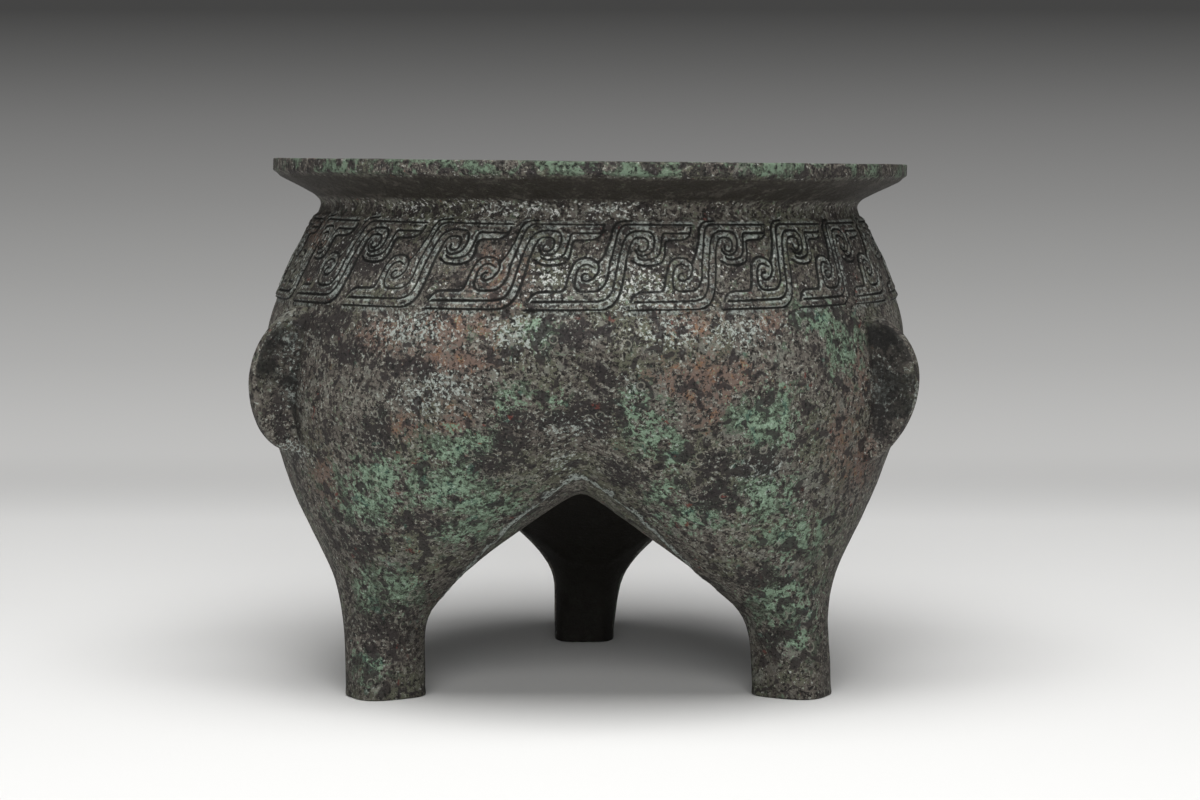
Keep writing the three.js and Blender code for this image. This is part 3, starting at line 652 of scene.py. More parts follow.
def noise(points, size, seed):
    p = np.asarray(points, float) / size
    cell = np.floor(p).astype(np.int64)
    f = p - cell
    f = f * f * (3 - 2 * f)
    total = np.zeros(len(p))
    for corner in range(8):
        step = np.array([corner & 1, corner >> 1 & 1, corner >> 2 & 1])
        weight = np.prod(np.where(step, f, 1 - f), axis=1)
        total += weight * lattice(cell + step, seed)
    return total


print("noise at three points:", noise(np.eye(3) * 7, 5, 1).round(2))

# %% [markdown]
# ## The band of scrolls
#
# The flat cell is bent round the shoulder twenty-one times. The scrolls of each third grow
# narrower along it, as on the vessel. The mesh keeps a mark for the grooves and for the ribs'
# edges, and the patina reads it later. Noise wears some grooves shallower than others.

# %% Frieze band
SCROLL_COUNT = 21
SCROLL_START = math.radians(1)
SCROLL_CROWDING = 0.14
SCROLL_RELIEF = 0.75
GROUND_DEPTH = 0.5
GROOVE_DEPTH = 0.72
groove_mark = {}
rib_edge_mark = {}


def frieze_radius(share):
    straight = FRIEZE_FOOT_RADIUS + (FRIEZE_TOP_RADIUS - FRIEZE_FOOT_RADIUS) * share
    return straight + 4 * FRIEZE_BULGE * share * (1 - share)


def crowded(angle):
    """Each third's scrolls start a little past its flange and grow narrower along it."""
    turns = (angle - SCROLL_START) / SECTOR
    along = turns - np.floor(turns)
    return angle + SECTOR * SCROLL_CROWDING * along * (1 - along)


numbers_at = {}


def band_points(scroll):
    """One cell's points, or their numbers where a neighbour has made them."""
    angle = SCROLL_START + 2 * math.pi * (scroll + 0.5 + cell[:, 0] / PITCH) / SCROLL_COUNT
    angle = crowded(angle)
    share = cell[:, 1] / (2 * BAND_HALF) + 0.5
    height = FRIEZE_FOOT + (FRIEZE_TOP - FRIEZE_FOOT) * share
    place = np.stack([73 * np.cos(angle), 73 * np.sin(angle), height], 1)
    wear = np.clip(0.85 + 0.35 * noise(place, 10, 3), 0.35, 1.2)
    cut = np.clip(1 - groove_distance / GROOVE_HALF, 0, 1)
    sunk = smooth_step(-0.3, 0.5, ground_distance)
    rounding = np.exp(-((groove_distance - GROOVE_HALF) / 0.35) ** 2) * (groove_distance > GROOVE_HALF * 0.9)
    relief = SCROLL_RELIEF - GROUND_DEPTH * sunk - 0.12 * rounding * (1 - sunk)
    relief -= GROOVE_DEPTH * wear * cut
    relief += 0.09 * noise(place, 2.2, 5) + 0.05 * noise(place, 1.0, 6)
    border = smooth_step(0.0, 0.5, BAND_HALF - np.abs(cell[:, 1]))
    radius = frieze_radius(share) + relief * border
    points = np.stack([radius * np.cos(angle), radius * np.sin(angle), height], 1)
    numbers = np.full(len(cell), -1)
    sides = (np.abs(cell[:, 0] - CELL_LEFT) < 1e-4) | (np.abs(cell[:, 0] - cell_right) < 1e-4)
    for k in np.nonzero(sides)[0]:
        column = scroll + (1 if cell[k, 0] > 0 else 0)
        key = (column % SCROLL_COUNT, round(float(cell[k, 1]), 3))
        numbers[k] = numbers_at.get(key, -1)
    new = numbers < 0
    made = skin.ring(points[new])
    numbers[new] = made
    groove_mark[made[0]] = np.clip(cut * wear + 0.15 * sunk, 0, 1)[new]
    rib_edge_mark[made[0]] = (np.abs(groove_distance - GROOVE_HALF) < 0.08)[new] * (1 - 0.5 * sunk[new])
    for k in np.nonzero(sides & new)[0]:
        column = scroll + (1 if cell[k, 0] > 0 else 0)
        numbers_at[(column % SCROLL_COUNT, round(float(cell[k, 1]), 3))] = numbers[k]
    return numbers


previous = shoulder
for step in range(1, 5):
    share = step / 5
    radius = SHOULDER_RADIUS + (FRIEZE_FOOT_RADIUS - SHOULDER_RADIUS) * share**SHOULDER_SWELL
    height = SHOULDER_HEIGHT + (FRIEZE_FOOT - SHOULDER_HEIGHT) * share
    numbers = skin.ring(circle(radius, height, len(shoulder)))
    skin.strip(previous, numbers)
    previous = numbers
low_edge = np.nonzero(np.abs(cell[:, 1] + BAND_HALF) < 1e-3)[0]
low_edge = low_edge[np.argsort(cell[low_edge, 0])][:-1]
high_edge = np.nonzero(np.abs(cell[:, 1] - BAND_HALF) < 1e-3)[0]
high_edge = high_edge[np.argsort(cell[high_edge, 0])][:-1]
foot_ring, top_ring = [], []
for scroll in range(SCROLL_COUNT):
    numbers = band_points(scroll)
    skin.triangles.extend(numbers[cell_faces].tolist())
    foot_ring.extend(numbers[low_edge])
    top_ring.extend(numbers[high_edge])
foot_ring, top_ring = np.array(foot_ring), np.array(top_ring)


def from_crest(ring):
    """The ring again, starting at its point nearest to the first lobe's crest."""
    points = np.vstack(skin.points)[ring]
    return np.roll(ring, -int(np.argmin(np.abs(np.arctan2(points[:, 1], points[:, 0])))))


skin.strip(previous, from_crest(foot_ring))
previous = from_crest(top_ring)
print("band triangles:", SCROLL_COUNT * len(cell_faces))

# %% [markdown]
# ## Neck, lip and the way down inside
#
# Above the frieze every ring is a circle. The rim's section is a line of corners: neck,
# sloping underside, upright lip, flat top and mouth. Each corner is rounded, because cast edges
# are never sharp, and the points between them let the noise bend the lip a little.

# %% Neck, rim and inside rings
RIM_COLUMNS = 360
INSIDE_STEPS = (14, 8, 5)


def rounded_corner(before, corner, after, radius, steps):
    """Points of a corner that is rounded between its two sides."""
    before, corner, after = (np.array(p, float) for p in (before, corner, after))
    a = unit((before - corner)[None])[0] * radius + corner
    b = unit((after - corner)[None])[0] * radius + corner
    t = np.linspace(0, 1, steps)[:, None]
    return list((1 - t) ** 2 * a + 2 * t * (1 - t) * corner + t**2 * b)


lip_foot = HEIGHT - LIP_HEIGHT
under_end = NECK_RADIUS + NECK_FILLET
under_height = max(
    lip_foot - (RIM_RADIUS - LIP_BEVEL - under_end) * math.tan(RIM_UNDER_SLOPE),
    HEIGHT - NECK_DEPTH + NECK_FILLET / 2,
)
neck = (NECK_RADIUS, HEIGHT - NECK_DEPTH)
under = (under_end, under_height)
lip_inside = (RIM_RADIUS - LIP_BEVEL, lip_foot)
lip_low = (RIM_RADIUS, lip_foot + LIP_BEVEL)
lip_top = (RIM_RADIUS, HEIGHT)
mouth = (RIM_RADIUS - RIM_FLAT, HEIGHT)
inner_neck_radius = NECK_RADIUS - WALL
inner_neck = (inner_neck_radius, HEIGHT - RIM_MOUTH_DEPTH)
slant_wall = WALL * math.hypot(1, (FRIEZE_FOOT_RADIUS - FRIEZE_TOP_RADIUS) / (FRIEZE_TOP - FRIEZE_FOOT))
inner_low = (inner_neck_radius, HEIGHT - NECK_DEPTH)


def between(a, b, steps):
    t = np.linspace(0, 1, steps + 2)[1:-1, None]
    return list((1 - t) * np.array(a) + t * np.array(b))


profile = (
    rounded_corner((FRIEZE_TOP_RADIUS, FRIEZE_TOP), neck, under, 0.9, 4)
    + rounded_corner(neck, under, lip_inside, 0.7, 3)
    + between(under, lip_inside, 6)
    + rounded_corner(under, lip_inside, lip_low, 0.35, 3)
    + between(lip_inside, lip_low, 1)
    + rounded_corner(lip_inside, lip_low, lip_top, 0.3, 3)
    + between(lip_low, lip_top, 3)
    + rounded_corner(lip_low, lip_top, mouth, 0.45, 4)
    + rounded_corner(lip_top, mouth, inner_neck, 0.5, 3)
    + between(mouth, inner_neck, 4)
    + rounded_corner(mouth, inner_neck, inner_low, 2.5, 4)
)
for radius, height in profile:
    numbers = skin.ring(circle(radius, height, RIM_COLUMNS))
    skin.strip(previous, numbers)
    previous = numbers
inside_count = 6 * INSIDE_STEPS[0]
inside_profile = [inner_low] + [
    (frieze_radius(share) - slant_wall, FRIEZE_FOOT + (FRIEZE_TOP - FRIEZE_FOOT) * share)
    for share in (1, 0.8, 0.6, 0.4, 0.2, 0)
]
inside_start = skin.count
for radius, height in inside_profile:
    numbers = skin.ring(circle(radius, height, 2 * inside_count))
    skin.strip(previous, numbers)
    previous = numbers
inside_levels = LEG_TOP + (LEG_FLOOR - LEG_TOP) * np.array([0, 0.3, 0.6, 0.85])
inner = lobe_rings(hollow_field, SHOULDER_RADIUS - WALL, INSIDE_STEPS, 14, inside_levels)
inner_borders = add_lobes(inner, inside=True)
skin.strip(previous, shoulder_ring(inner_borders, INSIDE_STEPS[0]))
print("skin points:", skin.count)

# %% [markdown]
# ## Flanges
#
# A half-moon plate stands on the crest of each lobe. It was cast with the vessel, so its
# sides flare into the lobe in a small fillet. It is made from upright slices, each a thin
# tongue with a rounded edge.

# %% Flange mesh
FLANGE_REACH = 11.3
FLANGE_DROP = 10.5
FLANGE_HEIGHT = 34.5
FLANGES = (
    dict(azimuth=90, reach=1, drop=1, above=0.48, below=0.52, top_fall=1.3, foot_fall=1.2),
    dict(azimuth=210, reach=1.01, drop=1.03, above=0.51, below=0.49, top_fall=1.4, foot_fall=1.0),
    dict(azimuth=330, reach=0.96, drop=0.95, above=0.42, below=0.57, top_fall=1.2, foot_fall=1.5),
)
FLANGE_HALF = 1.6
FLANGE_ROUNDING = 0.7
FLANGE_FILLET = 0.8
FLANGE_SLICES = 60


def surface_radius(height):
    if height < SHOULDER_HEIGHT:
        return float(crest_radius(np.array(float(height))))
    share = np.clip((height - SHOULDER_HEIGHT) / (FRIEZE_FOOT - SHOULDER_HEIGHT), 0, 1)
    return SHOULDER_RADIUS + (FRIEZE_FOOT_RADIUS - SHOULDER_RADIUS) * share**SHOULDER_SWELL


def flange_slices(azimuth, reach, drop, above, below, top_fall, foot_fall):
    root = SHOULDER_RADIUS - 0.9
    tip = SHOULDER_HEIGHT - FLANGE_DROP * drop
    slices = []
    for angle in np.linspace(-math.pi / 2, math.pi / 2, FLANGE_SLICES):
        up = angle < 0
        height = tip - math.sin(angle) * FLANGE_HEIGHT * (above if up else below)
        swell = max(math.cos(angle), 0) ** (top_fall if up else foot_fall)
        lobe = surface_radius(height)
        edge = max(root + (0.9 + FLANGE_REACH * reach) * swell, lobe - 1)
        start = lobe - 1.5
        tongue = start + (edge - FLANGE_ROUNDING - start) * np.linspace(0, 1, 9)
        nose = edge - FLANGE_ROUNDING * (1 - np.sin(np.radians([25, 50, 75, 90])))
        outs = np.concatenate([tongue, nose])
        round_off = np.clip((outs - edge + FLANGE_ROUNDING) / FLANGE_ROUNDING, 0, 1)
        flat = FLANGE_HALF - FLANGE_ROUNDING + FLANGE_ROUNDING * np.sqrt(1 - round_off**2)
        half = flat + FLANGE_FILLET * np.exp(-np.maximum(outs - lobe, 0) / FLANGE_FILLET)
        right = np.stack([outs, half, np.full(len(outs), height)], 1)
        slices.append(np.vstack([right, right[::-1] * [1, -1, 1]]))
    return [turned(s, math.radians(azimuth) - REAR) for s in slices]


flange_start = skin.count
for flange in FLANGES:
    rings = [skin.ring(s) for s in flange_slices(**flange)]
    for upper, lower in zip(rings, rings[1:]):
        skin.strip(lower, upper)
    skin.fan(rings[0], skin.points[-len(rings)].mean(0))
    skin.fan(rings[-1][::-1], skin.points[-2].mean(0))
print("flange points:", skin.count - flange_start)

# %% [markdown]
# ## Place, lean and roughen
#
# The finished skin is turned so that one leg points to the rear, twisted and leaned as the
# casting is, and then pushed in and out by noise: broad waves from the casting, and finer
# lumps of corrosion.

# %% Vertices into place
points = turned(np.vstack(skin.points), REAR)
triangles = np.array(skin.triangles)
quads = np.vstack(skin.quads)
print("triangles in all:", len(triangles) + 2 * len(quads))


def vertex_normals(p):
    total = np.zeros_like(p)
    for a, b, c in ((0, 1, 2), (0, 2, 3)):
        n = np.cross(p[quads[:, b]] - p[quads[:, a]], p[quads[:, c]] - p[quads[:, a]])
        for k in (a, b, c):
            np.add.at(total, quads[:, k], n)
    n = np.cross(p[triangles[:, 1]] - p[triangles[:, 0]], p[triangles[:, 2]] - p[triangles[:, 0]])
    for k in range(3):
        np.add.at(total, triangles[:, k], n)
    return total / np.maximum(np.linalg.norm(total, axis=1, keepdims=True), 1e-12)


# %% [markdown]
# ## Marks for wear, soot and painted shade
#
# Before the skin is leaned, its places are easy to name by radius and level. Soot and painted shade lie where the
# skin faces the vault and on the rear leg, a thin seam follows each arch, and the lip and its underside have marks.

# %% Marks on the skin
level = points[:, 2].copy()
radius = np.hypot(points[:, 0], points[:, 1])
azimuth = np.arctan2(points[:, 1], points[:, 0])
normals = unit(vertex_normals(points))
crease_radius = CREASE_RADIUS + CREASE_WIDENING * smooth_step(*CREASE_HEIGHTS, level)
to_vault = unit(np.array([0, 0, 20]) - points)
# The rear leg gets extra painted shade, because it stands in the vessel's own shadow.
rear_leg_shade = np.clip(1 - np.abs(azimuth - REAR) / (SECTOR / 2), 0, 1)
facing_vault = np.sum(normals * to_vault, 1) + 0.7 * rear_leg_shade + 0.12 * noise(points, 6, 22)
outside = (np.arange(len(points)) < inside_start) | (np.arange(len(points)) >= flange_start)
soot = smooth_step(0.62, 0.9, facing_vault) * smooth_step(62, 54, level) * outside
seam = np.exp(-(((radius - crease_radius) / 1.3) ** 2)) * outside
seam *= smooth_step(68, 62, level) * smooth_step(18, 26, level)
lip = smooth_step(78.9, 79.6, radius) * smooth_step(124.5, 125.5, level)
under_rim = smooth_step(68.6, 70, radius) * smooth_step(79.4, 78.6, radius) * smooth_step(118, 120, level)
under_rim *= smooth_step(127, 126, level)
print("points with soot:", int((soot > 0.5).sum()), "on the lip:", int((lip > 0.5).sum()))

# %% Twist, lean and roughen
above = smooth_step(0, LEG_TWIST_HEIGHT, points[:, 2])
below = 1 - smooth_step(LEG_TWIST_HEIGHT, SHOULDER_HEIGHT, points[:, 2])
twist = (FOOT_TWIST + (LEG_TWIST - FOOT_TWIST) * above) * below
x, y = points[:, 0].copy(), points[:, 1].copy()
points[:, 0] = x * np.cos(twist) - y * np.sin(twist) + FOOT_SHIFT * (1 - above)
points[:, 1] = x * np.sin(twist) + y * np.cos(twist)
share = np.maximum((points[:, 2] - SHOULDER_HEIGHT) / (HEIGHT - SHOULDER_HEIGHT), 0)
points[:, 2] -= RIM_LEAN * points[:, 0] * share
points[:, 0] += RIM_SHIFT * share
points[:, 1] += AXIS_Y

normals = vertex_normals(points)
amount = 0.22 * noise(points, 17, 11) + 0.14 * noise(points, 7, 12) + 0.06 * noise(points, 3, 13)
frieze_zone = smooth_step(92, 96, points[:, 2]) * (1 - smooth_step(116, 119, points[:, 2]))
amount *= 1 - 0.6 * frieze_zone - 0.6 * lip
amount -= (0.25 - 0.17 * lip) * outside
amount *= smooth_step(0.2, 3, points[:, 2])
amount += 0.55 * seam * (0.8 + 0.5 * noise(points, 4, 14))
points += normals * amount[:, None]
points[:, 2] = np.maximum(points[:, 2], 0)
print("skin moved by", amount.min().round(2), "to", amount.max().round(2), "mm")

# %% [markdown]
# ## Where the patina's patches lie
#
# The green, the brown earth, the dark bare bronze and the pale crust each have their own places on the front, which
# anyone who compares the two vessels sees first. Two of the dark spots, high on the frieze's left end, are painted
# shade and not bare bronze. Each place is a soft spot, given by its middle and its half widths along x and z in
# millimetres. The back isn't seen, so there a coarse noise chooses the places.

# %% Patches of patina
GREEN_SPOTS = [
    (-26, 65, 9, 4), (-18, 75, 3.5, 4.5), (-31, 63, 7, 4), (-33, 54, 13, 7), (-51, 49, 9, 10), (-48, 57, 8, 5),
    (-23, 49, 9, 5), (-9, 91, 5, 4), (-7, 75, 4, 3), (-28, 43, 10, 4), (11, 73, 5, 7), (15.5, 67.5, 6, 5),
    (20, 62, 4, 4), (18, 53, 5, 4), (24, 47, 10, 4), (41, 52, 9, 8), (55, 93, 7, 4), (61, 86, 5, 7),
    (42, 70, 9, 9), (49, 41, 9, 6), (-45, 27, 7, 7), (47, 25, 9, 9), (49, 15, 6, 5), (-52, 9, 5, 5), (-52, 27, 4, 8),
]
DARK_BRONZE_AND_SHADE_SPOTS = [
    (-48, 67, 5.5, 5), (-15, 65, 9, 4), (-21, 60, 7, 4), (-15, 71, 5, 2.5), (-5, 71, 9, 3.5), (-1, 90, 8, 5),
    (5, 81, 8, 3), (4, 72, 7, 7), (8.5, 56, 7, 5), (29.5, 53.5, 9, 6), (41, 60.5, 6, 5), (30, 60.5, 4, 3),
    (-55, 85, 8, 4), (-41, 83, 10, 3), (-52, 40, 8, 6), (-39, 45, 9, 4), (-60, 91, 8, 4), (-50, 15, 8, 8),
    # On the next line, the spots at (-52, 108) and (-63, 101) on the frieze's left end are painted shade.
    (-73, 68, 2.5, 7), (71, 68, 3.5, 8), (71.5, 87, 3, 5), (40, 31, 6, 4), (-52, 108, 9, 6), (-63, 101, 6, 7),
    (61, 105, 5, 9), (46, 15, 5, 5),
]
EARTH_SPOTS = [
    (-29, 92, 14, 4), (-48, 89, 6, 5), (-31, 85, 12, 4), (-30, 70, 5, 4), (-41, 69, 6, 4), (-62, 55, 4, 8),
    (25, 93, 7, 4), (43, 93, 4, 3.5), (29.5, 80, 12, 7), (28, 71, 6, 3.5), (64, 80, 3.5, 11), (60, 63, 4, 10),
    (66, 59, 4, 10), (16, 80, 5, 2.5), (-20, 103, 8, 8), (-66, 112, 6, 4),
]
CRUST_SPOTS = [
    (-37, 92, 8, 4), (-44, 91, 6, 4), (-16, 91, 7, 5), (-33, 78, 9, 5), (-38, 75, 7, 5), (35, 91, 9, 4),
    (19, 91, 6, 4), (-3, 69, 8, 3), (-5, 60, 4, 2.5), (40, 58, 6, 3), (10.5, 79, 2.5, 2.5), (-17, 119, 14, 2),
    (-40, 119, 4, 2), (5, 119, 8, 2), (-71, 87, 4, 6), (-70, 75.5, 3, 6), (-70, 61, 5, 3), (71, 76, 4, 6),
    (79, 74, 2, 5), (-8, 103, 6, 9), (12, 100, 12, 8),
]


def spotted(spots, seed):
    """1 in the middle of a spot, 0 away from all of them."""
    depth = 0.05 * noise(points, 5, seed) + 1
    most = np.zeros(len(points))
    for x, z, half_x, half_z in spots:
        apart = ((points[:, 0] - x) / half_x) ** 2 + ((points[:, 2] - z) / half_z) ** 2
        most = np.maximum(most, np.exp(-0.8 * apart * depth))
    anywhere = np.clip(0.3 + 0.9 * noise(points, 13, seed), 0, 1)
    front = smooth_step(6, -6, points[:, 1] - AXIS_Y)
    return front * most + (1 - front) * anywhere


patches = {
    "green": spotted(GREEN_SPOTS, 31),
    "dark": spotted(DARK_BRONZE_AND_SHADE_SPOTS, 32),
    "earth": spotted(EARTH_SPOTS, 33),
    "crust": spotted(CRUST_SPOTS, 34),
}
for name, values in patches.items():
    print(f"{name:6s} covers {np.mean(values > 0.5):.0%} of the points")

# %% [markdown]
# ## The mesh
#
# Points, corners and faces are handed over as whole arrays, which is much quicker than face by
# face. The marks go along as one number for each point. Then the edges are counted, because
# in a closed casting every edge has two faces.

# %% Blender mesh
mesh = bpy.data.meshes.new("li_bronze")
loops = np.concatenate([quads.ravel(), triangles.ravel()]).astype(np.int32)
sizes = np.concatenate([np.full(len(quads), 4), np.full(len(triangles), 3)]).astype(np.int32)
mesh.vertices.add(len(points))
mesh.vertices.foreach_set("co", (points * MM).astype(np.float32).ravel())
mesh.loops.add(len(loops))
mesh.loops.foreach_set("vertex_index", loops)
mesh.polygons.add(len(sizes))
mesh.polygons.foreach_set("loop_start", (np.cumsum(sizes) - sizes).astype(np.int32))
mesh.polygons.foreach_set("loop_total", sizes)
mesh.update(calc_edges=True)
mesh.validate()
mesh.polygons.foreach_set("use_smooth", np.ones(len(mesh.polygons), bool))


def over_all_points(pieces):
    marks = np.zeros(len(points))
    for first_number, values in pieces.items():
        marks[first_number : first_number + len(values)] = values
    return marks


surface_marks = {
    "groove": over_all_points(groove_mark),
    "rib_edge": over_all_points(rib_edge_mark),
    "soot": soot,
    "seam": seam,
    "lip": lip,
    "under_rim": under_rim,
    **patches,
}
for name, values in surface_marks.items():
    mesh.attributes.new(name, "FLOAT", "POINT").data.foreach_set("value", values.astype(np.float32))
vessel = bpy.data.objects.new("li_bronze", mesh)
bpy.context.scene.collection.objects.link(vessel)
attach(vessel, "root")
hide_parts("li_tripod")
edge_use = np.zeros(len(mesh.edges), int)
np.add.at(edge_use, [loop.edge_index for loop in mesh.loops], 1)
open_edges = int((edge_use != 2).sum())
print("mesh:", len(mesh.vertices), "vertices,", len(mesh.polygons), "faces, open edges:", open_edges)

# %% [markdown]
# ## Shader maths in plain expressions
#
# A patina is many masks laid over each other. One small class wraps a node's socket, so
# that masks can be added and multiplied as numbers are.

# %% Socket class


class Socket:
    def __init__(self, tree, socket):
        self.tree = tree
        self.socket = socket

    def node(self, kind, settings=None, inputs=None, output=0):
        made = self.tree.nodes.new(kind)
        for name, value in (settings or {}).items():
            if name == "stops":
                ramp = made.color_ramp
                while len(ramp.elements) < len(value):
                    ramp.elements.new(0.5)
                for element, (position, colour) in zip(ramp.elements, value):
                    element.position = position
                    element.color = colour
            else:
                setattr(made, name, value)
        for name, value in (inputs or {}).items():
            if isinstance(value, Socket):
                self.tree.links.new(value.socket, made.inputs[name])
            elif value is not None:
                made.inputs[name].default_value = value
        return Socket(self.tree, made.outputs[output])

    def math(self, operation, *values):
        return self.node("ShaderNodeMath", {"operation": operation}, dict(enumerate(values)))

    def __add__(self, other):
        return self.math("ADD", self, other)

    def __radd__(self, other):
        return self.math("ADD", other, self)

    def __sub__(self, other):
        return self.math("SUBTRACT", self, other)

    def __rsub__(self, other):
        return self.math("SUBTRACT", other, self)

    def __mul__(self, other):
        return self.math("MULTIPLY", self, other)

    def __rmul__(self, other):
        return self.math("MULTIPLY", other, self)

    def __truediv__(self, other):
        return self.math("DIVIDE", self, other)

    def size(self):
        return self.math("ABSOLUTE", self)

    def root(self):
        return self.math("SQRT", self)

    def step(self, low, high):
        return self.node(
            "ShaderNodeMapRange",
            {"interpolation_type": "SMOOTHSTEP"},
            {"Value": self, "From Min": low, "From Max": high},
        )

    def mix(self, colour, factor):
        """This colour, covered by another where the factor is 1."""
        made = self.node("ShaderNodeMix", {"data_type": "RGBA"}, {"Factor": factor}, output="Result")
        node = made.socket.node
        socket_a = next(s for s in node.inputs if s.identifier == "A_Color")
        socket_b = next(s for s in node.inputs if s.identifier == "B_Color")
        for value, target in ((self, socket_a), (colour, socket_b)):
            if isinstance(value, Socket):
                self.tree.links.new(value.socket, target)
            else:
                target.default_value = (*value, 1.0)
        return Socket(self.tree, next(s for s in node.outputs if s.identifier == "Result_Color"))


print("what a socket can do:", ", ".join(name for name in vars(Socket) if name[0] != "_"))

# %% [markdown]
# ## The patina
#
# The bronze has lain in the ground for many centuries. Over a dark brown-grey skin lie
# mottled green malachite, pale grey crust that sits mostly on high spots and in the neck,
# small red spots of cuprite, brown earth, and thousands of black pits. Each is a mask of
# noise at its own scale, and the coarser masks say where the finer ones may show.

# %% Patina material
material = bpy.data.materials.new("patinated_bronze")
material.use_nodes = True
tree = material.node_tree
bsdf = next(n for n in tree.nodes if n.type == "BSDF_PRINCIPLED")
start = Socket(tree, None)
coord = start.node("ShaderNodeTexCoord", output="Object")


def field_noise(size, detail=3.0, rough=0.55, distortion=0.0, shift=0.0):
    """Noise whose features are about size millimetres across."""
    moved = start.node("ShaderNodeVectorMath", {"operation": "ADD"}, {0: coord, 1: (shift, shift * 0.7, -shift)})
    return start.node(
        "ShaderNodeTexNoise",
        {"noise_dimensions": "3D"},
        {
            "Vector": moved,
            "Scale": 1 / (size * MM),
            "Detail": detail,
            "Roughness": rough,
            "Distortion": distortion,
        },
    )


def mark(name):
    return start.node("ShaderNodeAttribute", {"attribute_name": name}, output="Fac")


place = start.node("ShaderNodeSeparateXYZ", inputs={"Vector": coord}).socket.node
height_above = Socket(tree, place.outputs[2])
groove, soot_and_shade_mark, seam_mark = mark("groove"), mark("soot"), mark("seam")
lip_mark, under_mark = mark("lip"), mark("under_rim")
across = Socket(tree, place.outputs[0])
forward = Socket(tree, place.outputs[1]) - AXIS_Y * MM
upper = height_above.step(0.093, 0.1)

broad = field_noise(16, 2, 0.5, 0.3)
patch = field_noise(6, 3, 0.6, 0.3, 0.1)
mottle = field_noise(2.4, 3, 0.65, 0.2, 0.2)
speck = field_noise(1.2, 4, 0.75, 0.0, 0.3)
fine = field_noise(0.7, 3, 0.7, 0.0, 0.4)
dots = field_noise(0.9, 3, 0.7, 0.0, 0.9)

TAUPE_DARK_AND_SHADE = (0.036, 0.030, 0.026)
TAUPE = (0.115, 0.103, 0.088)
TAUPE_LIGHT = (0.225, 0.218, 0.182)
ASH_GREY = (0.170, 0.170, 0.146)
OLIVE = (0.090, 0.094, 0.064)
EARTH = (0.145, 0.098, 0.078)
OCHRE = (0.200, 0.110, 0.062)
SAGE = (0.072, 0.100, 0.068)
MINT = (0.165, 0.235, 0.165)
PALE_MINT = (0.290, 0.400, 0.300)
TEAL = (0.050, 0.125, 0.095)
PALE_CRUST = (0.330, 0.370, 0.340)
WHITE_CRUST = (0.560, 0.560, 0.530)
CUPRITE = (0.130, 0.036, 0.027)
BARE_BRONZE_AND_SHADE = (0.022, 0.018, 0.018)
PIT_BLACK_AND_SHADE = (0.006, 0.006, 0.005)
SOOT_AND_SHADE = (0.008, 0.006, 0.004)
RIM_BROWN_AND_SHADE = (0.016, 0.014, 0.009)
print("patina colours named")

# %% [markdown]
# ## Skin, earth, green and crust
#
# Corrosion grows in grains that stand close in the middle of a patch and thin out round it. So
# each colour covers a grain of noise, and its place only decides how many of the grains show.

# %% Layers of the patina


def sprinkled(grain, place, start, share=0.16, soft=0.02):
    """Grains that stand closer together where the place counts for more."""
    return (grain + place * share).step(start, start + soft)


green, dark, earth, crust = mark("green"), mark("dark"), mark("earth"), mark("crust")
coarse_grain = patch * 0.4 + mottle * 0.35 + speck * 0.25
grain = mottle * 0.4 + speck * 0.6
fine_grain = speck * 0.4 + fine * 0.6
dot_grain = dots * 0.7 + fine * 0.3
base = start.node("ShaderNodeRGB")
base.socket.default_value = (*TAUPE_DARK_AND_SHADE, 1)
base = base.mix(TAUPE, speck.step(0.43, 0.55))
base = base.mix(OLIVE, sprinkled(grain, broad.step(0.45, 0.62), 0.56, 0.10, 0.03) * 0.85)
base = base.mix(TAUPE_LIGHT, sprinkled(dot_grain, patch.step(0.40, 0.60), 0.562, 0.05, 0.035) * 0.8)
pale_dabs = (field_noise(5, 3, 0.6, 0.4, 3.1) * 0.85 + speck * 0.15).step(0.56, 0.60)
base = base.mix(ASH_GREY, pale_dabs * 0.6)
base = base.mix(EARTH, sprinkled(grain, earth, 0.60, 0.16, 0.03) * 0.85)
base = base.mix(OCHRE, sprinkled(mottle, earth, 0.68, 0.12, 0.04) * 0.7)
base = base.mix(SAGE, sprinkled(coarse_grain, green, 0.575, 0.15, 0.03) * 0.85)
base = base.mix(TEAL, sprinkled(field_noise(4, 3, 0.6, 0.4, 1.7), green, 0.69, 0.12, 0.04) * 0.5)
base = base.mix(MINT, sprinkled(grain, green, 0.605, 0.125, 0.03))
base = base.mix(PALE_MINT, sprinkled(fine_grain, green, 0.655, 0.10, 0.03) * 0.8)
base = base.mix(PALE_CRUST, sprinkled(dot_grain, crust, 0.60, 0.11, 0.04) * 0.8)
bare_bronze_and_shade = sprinkled(coarse_grain, dark, 0.61, 0.17, 0.02)
base = base.mix(BARE_BRONZE_AND_SHADE, bare_bronze_and_shade * (1 - dots.step(0.56, 0.62) * 0.7) * 0.92)
dark_dabs = (field_noise(4.0, 2, 0.6, 0.3, 2.3) * 0.8 + speck * 0.2).step(0.56, 0.59)
base = base.mix(BARE_BRONZE_AND_SHADE, dark_dabs * 0.88)
red_place = field_noise(9, 2, 0.5, 0.6, 1.1).step(0.57, 0.63)
base = base.mix(CUPRITE, red_place * field_noise(2.2, 3, 0.6, 0.2, 1.3).step(0.63, 0.66) * 0.85)
print("layers mixed with", len(tree.nodes), "nodes")
